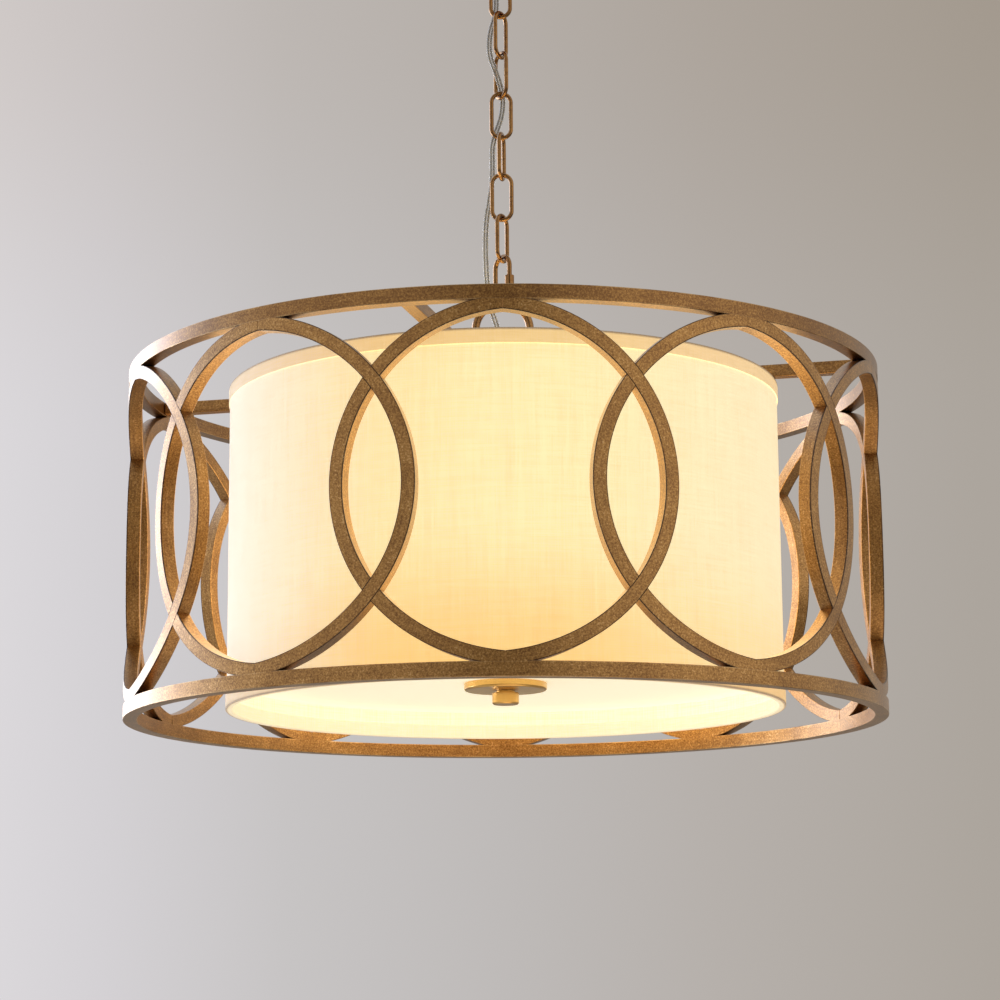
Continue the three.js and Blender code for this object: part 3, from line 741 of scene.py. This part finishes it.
def hoop_grain(turn):
    """Streaks along an oval hoop whose middle is turned from the front by turn radians."""
    def grain(finish):
        across, forward = finish.aligned(turn)
        height = finish.z - cage_middle
        reach = (across * across * 1.05 + height * height) ** 0.5
        depth = (forward * forward + across * across) ** 0.5
        flat = finish.vector(across * 30, height * 30, depth * 620)
        return finish.noise(flat, detail=3, roughness=0.65, w=reach * 620)
    return grain


def hoop_line(turn):
    """Where an oval hoop's front face is darker along its two outer edges."""
    def line(finish):
        across, forward = finish.aligned(turn)
        side = finish.math("ARCTAN2", across, 0 - forward).size() * cage_radius + hoop_point
        height = finish.z - cage_middle
        edges = []
        for trim, way in ((0, 1), (-strap_width, -1)):
            reach, tall = oval(trim)
            ratio = ((side / reach) ** 2 + (height / tall) ** 2) ** 0.5
            edges.append(1 - ((1 - ratio) * (way * reach)).ramp(0.0002, 0.0011))
        face = finish.reach().ramp(cage_radius - 0.0014, cage_radius - 0.0004)
        return (edges[0] + edges[1]) * face
    return line


moved(hoop, z=cage_middle)
for i in range(hoop_count):
    copy = swung(linked("hoop", hoop.data.copy()), i * pitch_turn)
    turn = radians(i * pitch_turn)
    finish = bronze_finish(f"bronze_hoop_{i + 1}", hoop_grain(turn), line=hoop_line(turn))
    settled(copy, f"hoop_bar_{i + 1}", "fixture", "bronze", finish, f"cage_hoop_{i + 1}", smooth=50)
bpy.data.objects.remove(hoop)


# The middle pipe is threaded from end to end. Nuts hold it above and below the hub, and everything
# inside the shade is threaded on it.
pipe = threaded_tube("centre_pipe")
settled(pipe, "threaded_pipe", "fixture", "steel", zinc, "centre_pipe")
for node in ("pipe_top_nut", "pipe_lower_nut", "cluster_nut"):
    settled(hexagon_nut(node), f"{node}_hexagon", "fixture", "steel", zinc, node)


# The supply cord is a clear twin flex: two stranded wires side by side in clear plastic. It is
# threaded through the chain, its route bends where one link hangs in the next, and it is drawn in
# stretches that part halfway down each link. The route is in mm.
cord_route = (
    (0, 0, -4), (0, 0, -18), (0, 0, -32), (-1.4, 0.8, -38.5), (-4.6, 2.8, -44.5),
    (-5.8, 3.9, -51), (-5, 3.9, -59), (-3.6, 3.9, -69), (-3.6, 4.1, -80), (-5.6, 4.1, -90.5),
    (-8.2, 1.4, -101), (-9.4, -0.6, -113), (-8.6, -1, -124), (-5.6, -0.6, -133),
    (-1.9, 2.2, -143), (1, 6.6, -154), (1.2, 7.2, -164), (-0.4, 5.8, -175), (-4.2, 4.6, -187),
    (-7.2, 4.2, -199), (-7.6, 4, -213), (-8, 4, -230), (-10, 4.2, -246), (-12.6, 3.6, -262),
    (-13.6, 2.6, -280), (-13.4, 3, -300), (-12.4, 4.4, -318), (-10.8, 5.7, -333),
    (-7.8, 5.4, -343), (-4.2, 3.4, -355), (-1.2, 1, -368), (0, 0, -383), (0, 0, -396),
)
cord_steps = 6
core_offset = 0.0012
core_radius = 0.00072
sleeve_radius = 0.0013


def along(route):
    """Points on a smooth curve through a route's points."""
    stops = [Vector(stop) / 1000 for stop in route]
    stops = [2 * stops[0] - stops[1], *stops, 2 * stops[-1] - stops[-2]]
    points = []
    for before, start, end, after in zip(stops, stops[1:], stops[2:], stops[3:]):
        gaps = [(b - a).length ** 0.5 for a, b in ((before, start), (start, end), (end, after))]
        leave = (start - before) / gaps[0] - (end - before) / (gaps[0] + gaps[1])
        leave = (leave + (end - start) / gaps[1]) * gaps[1]
        reach = (end - start) / gaps[1] - (after - start) / (gaps[1] + gaps[2])
        reach = (reach + (after - end) / gaps[2]) * gaps[1]
        bend = -3 * start + 3 * end - 2 * leave - reach
        turn = 2 * start - 2 * end + leave + reach
        for t in (k / cord_steps for k in range(cord_steps)):
            points.append(start + leave * t + bend * t * t + turn * t * t * t)
    return [*points, stops[-2]]


def swept(name, points, section):
    """A closed tube whose section, as (side, depth) points, follows the points."""
    corners = []
    for before, point, after in zip([points[0], *points], points, [*points[1:], points[-1]]):
        way = (after - before).normalized()
        side = (Vector((1, 0, 0)) - way * way.x).normalized()
        depth = way.cross(side)
        corners += [point + side * a + depth * b for a, b in section]
    count = len(section)
    ends = len(corners) - count
    faces = [range(count)]
    for low in range(0, ends, count):
        for k in range(count):
            after = (k + 1) % count
            faces.append((low + k, low + count + k, low + count + after, low + after))
    faces.append(range(len(corners) - 1, ends - 1, -1))
    mesh = bpy.data.meshes.new(name)
    mesh.from_pydata(corners, [], faces)
    tube = linked(name, mesh)
    picked(tube)
    faces_out()
    return tube


def strand_finish():
    """Stranded tinned copper."""
    finish = Finish("tinned_strands", metallic=1)
    lay = (finish.z * 4200 + finish.x * 5200).sine() * 0.5 + 0.5
    cloud = finish.noise(scale=220)
    finish.wear(base_color=finish.mix(cloud, "6f706f", "a3a19b"), roughness=0.2 + lay * 0.14)
    return finish.bump(lay, 0.00004).material


clear_plastic = Finish("clear_plastic", alpha=0.28, coat_weight=1.0, coat_roughness=0.06)
clear_plastic.mottle(clear_plastic.noise(scale=300, detail=3), "eeefee", "ffffff", 0.06, 0.1)
tinned = strand_finish()
sleeve_section = arc(core_offset, 0, sleeve_radius, -72, 72, 8)
sleeve_section += arc(-core_offset, 0, sleeve_radius, 108, 252, 8)
left_core = arc(-core_offset, 0, core_radius, 0, 330, 11)
right_core = arc(core_offset, 0, core_radius, 0, 330, 11)
cord_joints = [-0.0544, *(-0.08885 - 0.035 * i for i in range(6)), -0.29885, -0.3395]
cord_points = along(cord_route)
cord_breaks = [0]
for upper_joint, lower_joint in zip(cord_joints, cord_joints[1:]):
    level = (upper_joint + lower_joint) / 2
    cord_breaks.append(min(range(len(cord_points)), key=lambda i: abs(cord_points[i].z - level)))
cord_breaks.append(len(cord_points) - 1)
for i, joint_height in enumerate(cord_joints):
    stretch = cord_points[cord_breaks[i] : cord_breaks[i + 1] + 1]
    for name, section, finish in (
        ("sleeve", sleeve_section, clear_plastic.material),
        ("left_core", left_core, tinned),
        ("right_core", right_core, tinned),
    ):
        flex = swept(f"cord_{name}_{i + 1}", stretch, section)
        bpy.ops.object.shade_smooth_by_angle(angle=radians(50))
        flex.data.materials.append(finish)
        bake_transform(flex)
        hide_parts("supply_cord")


# The fitter is a wire ring with three spokes and a washer, clamped under the hub. A second wire
# ring keeps the foot of the shade round.
shade_low, shade_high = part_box("shade_fabric")
fitter_wire = 0.0015
fitter_reach = 0.2169
fitter_height = shade_high[2] - 0.003
washer_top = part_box("shade_fitter")[1][2]
fitter = torus(fitter_reach, fitter_wire, 192, 12, location=(0, 0, fitter_height))
spoke_start = Vector((0.012, 0, washer_top - 0.0012))
run = Vector((fitter_reach, 0, fitter_height)) - spoke_start
for i in range(3):
    spoke = rod(fitter_wire / 2, 0, run.length, sides=16)
    spoke.data.transform(run.to_track_quat("Z", "Y").to_matrix().to_4x4())
    moved(spoke, *spoke_start)
    cut(fitter, swung(spoke, 90 + 120 * i), "UNION")
cut(fitter, disc(washer_top - 0.0024, washer_top, 0.013, 0.0006, 64, count=3), "UNION")
settled(fitter, "fitter_wires", "fixture", "steel", zinc, "shade_fitter")
foot_ring = torus(fitter_reach, fitter_wire, 192, 12, location=(0, 0, shade_low[2] + 0.003))
settled(foot_ring, "foot_wire", "fixture", "steel", zinc, "shade_bottom_wire")


# The shade is linen glued round a stiff clear backing. Its two ends overlap in a seam at the back,
# and folded tapes are glued round its top and foot.
shade_radius = shade_high[0]
shade_height = shade_high[2] - shade_low[2]
shade_middle = (shade_low[2] + shade_high[2]) / 2
lamp_turn = radians(8)


def lamp_light(finish):
    """The lamps' light painted into the shade's glow: brighter before each lamp, golden near the
    top and foot, paler at the left and right, and dimmer at the side where the window is."""
    turn = finish.math("ARCTAN2", finish.x, 0 - finish.y)
    before = ((turn - lamp_turn) * 3 + pi / 2).sine() * 0.5 + 0.5
    height = (finish.z - cage_middle) / (shade_height / 2)
    edges = (0 - height).ramp(0.05, 0.9) + height.ramp(0.75, 1.1) * 0.4
    light = finish.mix(before, "e9cb90", "ead9a0")
    light = finish.mix(edges, light, "dfb35c")
    # The left and right are painted paler, and the glow is painted dimmer where the window lights
    # the cloth.
    across = finish.x / finish.reach()
    light = finish.mix(across.ramp(0.1, 0.95) * (1 - edges * 0.55), light, "ead9b2")
    light = finish.mix((0 - across).ramp(0.35, 1.1), light, "cdc8c0")
    window_side = (finish.y * 0.67 - finish.x * 0.74) / finish.reach()
    return finish.mix(window_side.ramp(0.68, 0.98), light, "978f80")


def linen_finish():
    """Cream linen, uneven in its threads, with the lamps' light in it."""
    finish = Finish("cream_linen", roughness=0.92, sheen_weight=0.1, emission_strength=1.1)
    weft = finish.noise(finish.scaled(30, 30, 1100), detail=3, roughness=0.6)
    warp = finish.noise(finish.scaled(1100, 1100, 30), detail=3, roughness=0.6)
    slub = finish.noise(finish.scaled(240, 240, 7))
    thread = (weft - 0.5) * 0.6 + (warp - 0.5) * 0.6 + (slub - 0.5) * 0.25 + 0.5
    inside = 1 - finish.reach().ramp(shade_radius - 0.0006, shade_radius - 0.0004)
    light = finish.mix(inside, lamp_light(finish), "ccc19c")
    woven = finish.mix(thread.ramp(0.0, 1.0), "e6dfd2", "ffffff")
    finish.wear(
        base_color=finish.mix(thread.ramp(0.1, 0.9), "ddd2bf", "f7f0e3"),
        emission_color=finish.mix(1.0, light, woven, "MULTIPLY"),
    )
    return finish.bump(weft + warp, 0.0001).material


fabric = added(
    bpy.ops.mesh.primitive_cylinder_add,
    vertices=256,
    radius=shade_radius,
    depth=shade_height,
    end_fill_type="NOTHING",
    location=(0, 0, shade_middle),
)
applied(fabric, "SOLIDIFY", thickness=0.001, offset=-1)
settled(fabric, "linen_drum", "fixture", "linen", linen_finish(), "shade_fabric", smooth=50)

# The tapes are strips of the same linen, folded over the edge and the wire behind it.
tape_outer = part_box("shade_top_tape")[1][0]
tape_inner = 0.2151
tape_width = 0.011
tape_wall = 0.0004
tape_profile = (
    (tape_outer, -tape_width),
    (tape_outer, 0),
    (tape_outer - 0.0004, tape_wall),
    (tape_inner + 0.0006, tape_wall),
    (tape_inner, tape_wall - 0.0006),
    (tape_inner, -tape_width),
    (tape_inner + tape_wall, -tape_width),
    (tape_inner + tape_wall, -0.0002),
    (tape_inner + 0.0008, 0.0001),
    (tape_outer - tape_wall - 0.0002, 0.0001),
    (tape_outer - tape_wall, -tape_width),
)


def tape_finish():
    """The tape's linen, which dims the lamps' painted light, and whose painted glow is dimmed to
    grey along its fold.
    """
    finish = Finish("linen_tape", roughness=0.92, sheen_weight=0.1, emission_strength=1.0)
    weft = finish.noise(finish.scaled(60, 60, 1300), roughness=0.6)
    warp = finish.noise(finish.scaled(1300, 1300, 60), roughness=0.6)
    thread = (weft + warp) / 2
    reach = finish.reach()
    from_edge = shade_height / 2 - (finish.z - shade_middle).size()
    fold = (1 - from_edge.ramp(0.0002, 0.002)) * reach.ramp(0.2185, 0.2195)
    inside = 1 - reach.ramp(shade_radius - 0.0016, shade_radius - 0.0008)
    light = finish.mix(1.0, lamp_light(finish), "fbecd6", "MULTIPLY")
    light = finish.mix(inside, light, "ccc19c")
    # The glow is painted dark grey along the fold, as painted shade.
    dark = finish.mix(fold, finish.mix(thread, "d8d0c4", "ffffff"), "5e564b")
    finish.wear(
        base_color=finish.mix(thread.ramp(0.2, 0.8), "d5cab8", "efe7d8"),
        emission_color=finish.mix(1.0, light, dark, "MULTIPLY"),
    )
    return finish.bump(thread, 0.00012).material


tape_linen = tape_finish()
for node, edge_height, way in (
    ("shade_top_tape", shade_high[2], 1),
    ("shade_bottom_tape", shade_low[2], -1),
):
    tape = turned([(radius, edge_height + way * rise) for radius, rise in tape_profile], 192)
    settled(tape, f"{node}_folded", "fixture", "tape", tape_linen, node)


# The shade's two ends overlap by 12 mm in a seam at the back. The linen is double there, so it dims
# the light as a tape does.
seam_width = 0.012
seam_height = shade_height - 2 * 0.0112
seam_reach = shade_radius + 0.0002
seam = added(bpy.ops.mesh.primitive_grid_add, x_subdivisions=8, y_subdivisions=2, size=1)
for vertex in seam.data.vertices:
    turn = vertex.co.x * seam_width / shade_radius
    height = vertex.co.y * seam_height + shade_middle
    vertex.co = (seam_reach * sin(turn), seam_reach * cos(turn), height)
applied(seam, "SOLIDIFY", thickness=0.0004, offset=0)
settled(seam, "linen_seam", "fixture", "linen", tape_linen, smooth=50)


# The lamps stand on a turned body with three tubes. Each tube ends in a cup with a socket, and an
# opal bulb is screwed in the socket and points up.
socket_count = 3
first_socket_turn = -82
socket_reach = 0.075
cluster_foot, cluster_top, _ = extent("lamp_cluster")
cluster_radius = 0.021
tube_radius = 0.0045
tube_height = (cluster_foot + cluster_top) / 2
socket_low, socket_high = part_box("socket_1")
socket_radius = (socket_high[0] - socket_low[0]) / 2
cup_top = tube_height + tube_radius

outline = [(clear_bore, cluster_foot)]
outline += arc(cluster_radius - 0.0032, cluster_foot + 0.003, 0.003, -90, -10, 6)
outline += raised(tube_height, (cluster_radius, -0.002), (cluster_radius, 0.002))
outline += arc(cluster_radius - 0.0032, cluster_top - 0.003, 0.003, 10, 90, 6)
outline += [(clear_bore, cluster_top)]
cluster = turned(outline, 96)
cup_outline = raised(cup_top, (0, -0.004), (socket_radius - 0.0025, -0.004))
cup_outline += arc(socket_radius - 0.0015, cup_top - 0.0025, 0.0015, -90, 0, 5)
cup_outline += raised(cup_top, (socket_radius, -0.0002), (socket_radius - 0.0002, 0), (0, 0))
socket_turns = [first_socket_turn + 360 / socket_count * i for i in range(socket_count)]
for turn in socket_turns:
    tube_arm = swung(rod(tube_radius, 0.01, socket_reach), 90, "Y")
    cut(cluster, swung(moved(tube_arm, z=tube_height), turn), "UNION")
    cut(cluster, swung(moved(turned(cup_outline, 64), x=socket_reach), turn), "UNION")
settled(cluster, "lamp_cluster_body", "fixture", "steel", zinc, "lamp_cluster")


def socket_finish():
    """Ivory moulded plastic."""
    finish = Finish("socket_plastic")
    cloud = finish.noise(scale=500, detail=3)
    finish.mottle(cloud, "d9d1c0", "ece6da", 0.45, 0.15)
    return finish.bump(cloud, 0.00005).material


def opal_finish():
    """Opal glass that is lit from inside, brightest at the middle of the globe."""
    finish = Finish("opal_glass", roughness=0.2, emission_strength=4.0)
    height = (finish.z - bulb_middle).size()
    finish.mottle(finish.noise(scale=60), "f4efe6", "fffaf2", 0.16, 0.1)
    finish.wear(emission_color=finish.mix(height.ramp(0.0, 0.05), "ffe2ae", "f0bd78"))
    return finish.material


bulb_low, bulb_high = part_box("bulb_1")
bulb_foot = bulb_low[2]
bulb_radius = (bulb_high[0] - bulb_low[0]) / 2
bulb_middle = bulb_high[2] - bulb_radius
bulb_base = 0.0132
bulb_neck = bulb_foot + 0.033
socket_bore = 0.0135
socket_wall = socket_radius - 0.0006
ivory = socket_finish()
opal = opal_finish()
rim = socket_high[2]
rib = ((socket_wall, 0), (socket_radius, 0.0006), (socket_radius, 0.0012), (socket_wall, 0.0018))
socket_outline = raised(socket_low[2], (0, 0), (socket_radius - 0.0015, 0), (socket_wall, 0.0009))
socket_outline += [(socket_wall, rim - 0.024)]
for k in range(6):
    socket_outline += raised(rim - 0.022 + k * 0.003, *rib)
socket_outline += raised(rim, (socket_radius - 0.0003, -0.0004), (socket_radius - 0.0007, 0))
socket_outline += raised(rim, (socket_bore + 0.0003, 0), (socket_bore, -0.0003))
socket_outline += raised(bulb_foot - 0.0003, (socket_bore, 0), (0, 0))
cap_outline = raised(bulb_foot, (0, 0), (0.004, 0), (0.0048, 0.0012), (0.0096, 0.0034))
cap_outline += [(0.0118, bulb_foot + 0.0052)]
cap_outline += threads(bulb_base, 0.0012, 0.0036, bulb_foot + 0.006, bulb_foot + 0.0276)
cap_outline += [(bulb_base - 0.0006, bulb_foot + 0.0285), (bulb_base - 0.0006, bulb_neck)]
cap_outline += [(0, bulb_neck)]
neck_turn = degrees(asin(bulb_base / bulb_radius) * 1.35)
globe_outline = raised(bulb_neck, (0, 0), (bulb_base - 0.0004, 0), (bulb_base + 0.0002, 0.004))
globe_outline += [(bulb_base + 0.0014, bulb_neck + 0.011)]
globe_outline += arc(0, bulb_middle, bulb_radius, neck_turn - 90, 90, 28)
for i, socket_turn in enumerate(socket_turns, 1):
    turn = radians(socket_turn)
    place = {"x": socket_reach * cos(turn), "y": socket_reach * sin(turn)}
    socket = moved(turned(socket_outline, 64), **place)
    settled(socket, f"socket_{i}_body", "fixture", "socket_plastic", ivory, f"socket_{i}")
    cap = moved(turned(cap_outline, 48), **place)
    settled(cap, f"bulb_{i}_cap", f"lamp_{i}", "steel", zinc, f"bulb_{i}")
    globe = moved(turned(globe_outline, 64), **place)
    settled(globe, f"bulb_{i}_globe", f"lamp_{i}", "bulb_glass", opal, f"bulb_{i}")


# The diffuser is a frosted disc. The finial's cup presses it up, and the knob is screwed on the
# foot of the middle pipe.
def frosted_finish():
    """Frosted acrylic that is lit from above."""
    finish = Finish("frosted_acrylic", roughness=0.5, emission_strength=1.0)
    frost = finish.noise(scale=1800)
    finish.mottle(frost, "f2ecdf", "fbf7ee", 0.45, 0.15)
    finish.wear(emission_color=finish.mix(finish.noise(scale=6), "b5ae90", "bfb89b"))
    return finish.bump(frost, 0.00004).material


diffuser = disc(*extent("diffuser"), 0.0008, 192)
frosted = frosted_finish()
settled(diffuser, "frosted_disc", "diffuser_drop", "frosted_acrylic", frosted, "diffuser")


def finial_finish():
    """Lacquered gold with turned lines, painted brighter than the cage for the diffuser's light on
    it.
    """
    finish = Finish("gold_finial_painted_lit", metallic=1, coat_weight=0.6, coat_roughness=0.2)
    line = turned_grain(finish)
    cloud = finish.noise(scale=70, detail=3)
    finish.wear(
        base_color=finish.mix(line * 0.6 + cloud * 0.4, "cf9440", "f5cf7c"),
        roughness=0.26 + line * 0.12,
    )
    return finish.bump(line, 0.00005).material


finial_lit_gold = finial_finish()
plate_foot, plate_top, plate_radius = extent("finial_plate")
outline = [(clear_bore, plate_foot)]
outline += arc(plate_radius - 0.002, plate_foot + 0.002, 0.002, -90, 0, 6)
outline += raised(plate_top, (plate_radius, -0.0004), (plate_radius - 0.0004, 0))
outline += [(plate_radius - 0.0016, plate_top)]
outline += arc(plate_radius - 0.003, plate_foot + 0.003, 0.0014, 0, -90, 5)
outline += [(clear_bore, plate_foot + 0.0016)]
plate = turned(outline, 120)
settled(plate, "finial_cup", "diffuser_drop", "bronze", finial_lit_gold, "finial_plate")

knob_foot, knob_top, knob_radius = extent("finial_knob")
knob_waist = knob_top - 0.0014
outline = raised(knob_top, (clear_bore, 0), (0.0076, 0), (0.0076, -0.0014))
outline += arc(knob_radius - 0.0006, knob_waist - 0.0006, 0.0006, 90, 0, 3)
outline += raised(knob_foot, (knob_radius, 0.0012), (knob_radius - 0.0012, 0), (0, 0))
outline += raised(knob_foot, (0, 0.0034), (clear_bore, 0.0034))
knob = turned(outline, 72)
settled(knob, "finial_knob_turned", "finial", "bronze", finial_lit_gold, "finial_knob")


# The stage: a pale floor far below, a grey room that is lighter on the left, a large window light
# on the left and a small one below it, a soft warm light from below, and eight strips round the
# shade for the light that its cloth gives.
def lamp(name, place, target, width, height, power, tint):
    """A soft flat lamp that shines at a target and isn't seen itself."""
    data = bpy.data.lights.new(name, "AREA")
    data.shape = "RECTANGLE"
    data.size = width
    data.size_y = height
    data.energy = power
    data.color = paint(tint)[:3]
    made = linked(name, data)
    made.visible_camera = False
    aim = (Vector(target) - Vector(place)).to_track_quat("-Z", "Y")
    made.matrix_world = Matrix.Translation(place) @ aim.to_matrix().to_4x4()


cage_centre = Vector((0, 0, cage_middle))
lamp("window", (-1.95, 1.76, cage_middle + 0.35), cage_centre, 1.9, 1.9, 36, "f6f7ff")
lamp("low_window", (-2.3, 0.55, cage_middle - 0.5), cage_centre, 0.8, 0.8, 13, "f2f5ff")
lamp("bounce", (0.3, -0.6, cage_middle - 1.5), cage_centre, 1.6, 1.6, 8, "ffe2bd")
for i in range(8):
    turn = radians(22.5 + 45 * i)
    way = Vector((cos(turn), sin(turn), 0))
    start = way * (tape_outer + 0.004) + cage_centre
    power = 0.18 + 0.13 * way.y
    lamp(f"shade_glow_{i + 1}", start, start + way, 0.13, 0.2, power, "ffda98")

alone()
bpy.ops.mesh.primitive_plane_add(size=60, location=(0, 0, -2.4))
floor = bpy.context.object
floor.name = "floor"
floor_paint = Finish("floor_paint", roughness=0.7)
floor_paint.wear(base_color=floor_paint.mix(floor_paint.noise(scale=3), "e4dfd7", "efebe4"))
floor_eye = floor_paint.node("ShaderNodeLightPath") * 0.6
floor_glow = floor_paint.node("ShaderNodeEmission", inputs={0: "dcd8d2", 1: 1.0})
floor_surface = Flow(floor_paint, floor_paint.surface.outputs[0])
floor_mix = {0: floor_eye, 1: floor_surface, 2: floor_glow}
floor_paint.end(floor_paint.node("ShaderNodeMixShader", inputs=floor_mix), "Material Output")
floor.data.materials.append(floor_paint.material)

world = bpy.data.worlds.new("room")
bpy.context.scene.world = world
world.use_nodes = True
room = Nodes(world.node_tree)
room.tree.nodes.remove(room.tree.nodes["Background"])


def room_colours(value, stops):
    """Colours along a value, from (place, colour code, strength) stops."""
    colours = room.node("ShaderNodeValToRGB", inputs={0: value})
    elements = colours.socket.node.color_ramp.elements
    elements.remove(elements[1])
    for i, (at, code, strength) in enumerate(stops):
        stop = elements[0] if i == 0 else elements.new(at)
        stop.position = at
        stop.color = [share * strength for share in paint(code)[:3]] + [1]
    return colours


sideways, forward, upward = room.axes(room.node("ShaderNodeTexCoord"))
wall = room_colours(
    sideways.ramp(-0.2, 0.2, "LINEAR"),
    (
        (0.03, "dbd8db", 1), (0.13, "d4d1d4", 1), (0.295, "c7c4c4", 1),
        (0.5, "bebab8", 1), (0.69, "b6b0ab", 1), (0.94, "aca59d", 1),
    ),
)
wall = room.mix(upward.ramp(0.2, 0.37), wall, (0.89, 0.855, 0.81, 1), "MULTIPLY")
room_round = room_colours(
    room.math("ARCTAN2", sideways, forward * -1.0).ramp(-pi, pi, "LINEAR"),
    (
        (0.0, "ffffff", 0.6), (0.08, "e6efff", 1.2), (0.15, "c0d6ff", 2.4),
        (0.21, "d0deff", 1.6), (0.27, "fff8f0", 0.8), (0.44, "fff4e4", 0.62),
        (0.5, "fff0dc", 0.06), (0.56, "fff4e4", 0.75), (0.65, "fff4e4", 1.0),
        (0.76, "fff4e4", 0.75), (0.88, "fff4e4", 0.5), (1.0, "ffffff", 0.6),
    ),
)
mirrored = room.mix(forward.ramp(0.75, 0.9), room_round, wall)
camera_ray, glossy_ray, clear_ray = [
    room.node("ShaderNodeLightPath", output=f"Is {kind} Ray")
    for kind in ("Camera", "Glossy", "Transmission")
]
shown = room.mix(glossy_ray, wall, mirrored)
seen = room.node("ShaderNodeBackground", inputs={0: shown, 1: 1.0})
light = room.node("ShaderNodeBackground", inputs={0: "b4aea6", 1: 0.6})
eye = room.math("MAXIMUM", room.math("MAXIMUM", camera_ray, clear_ray), glossy_ray)
room.end(room.node("ShaderNodeMixShader", inputs={0: eye, 1: light, 2: seen}), "World Output")

bpy.context.scene.view_settings.view_transform = "Standard"
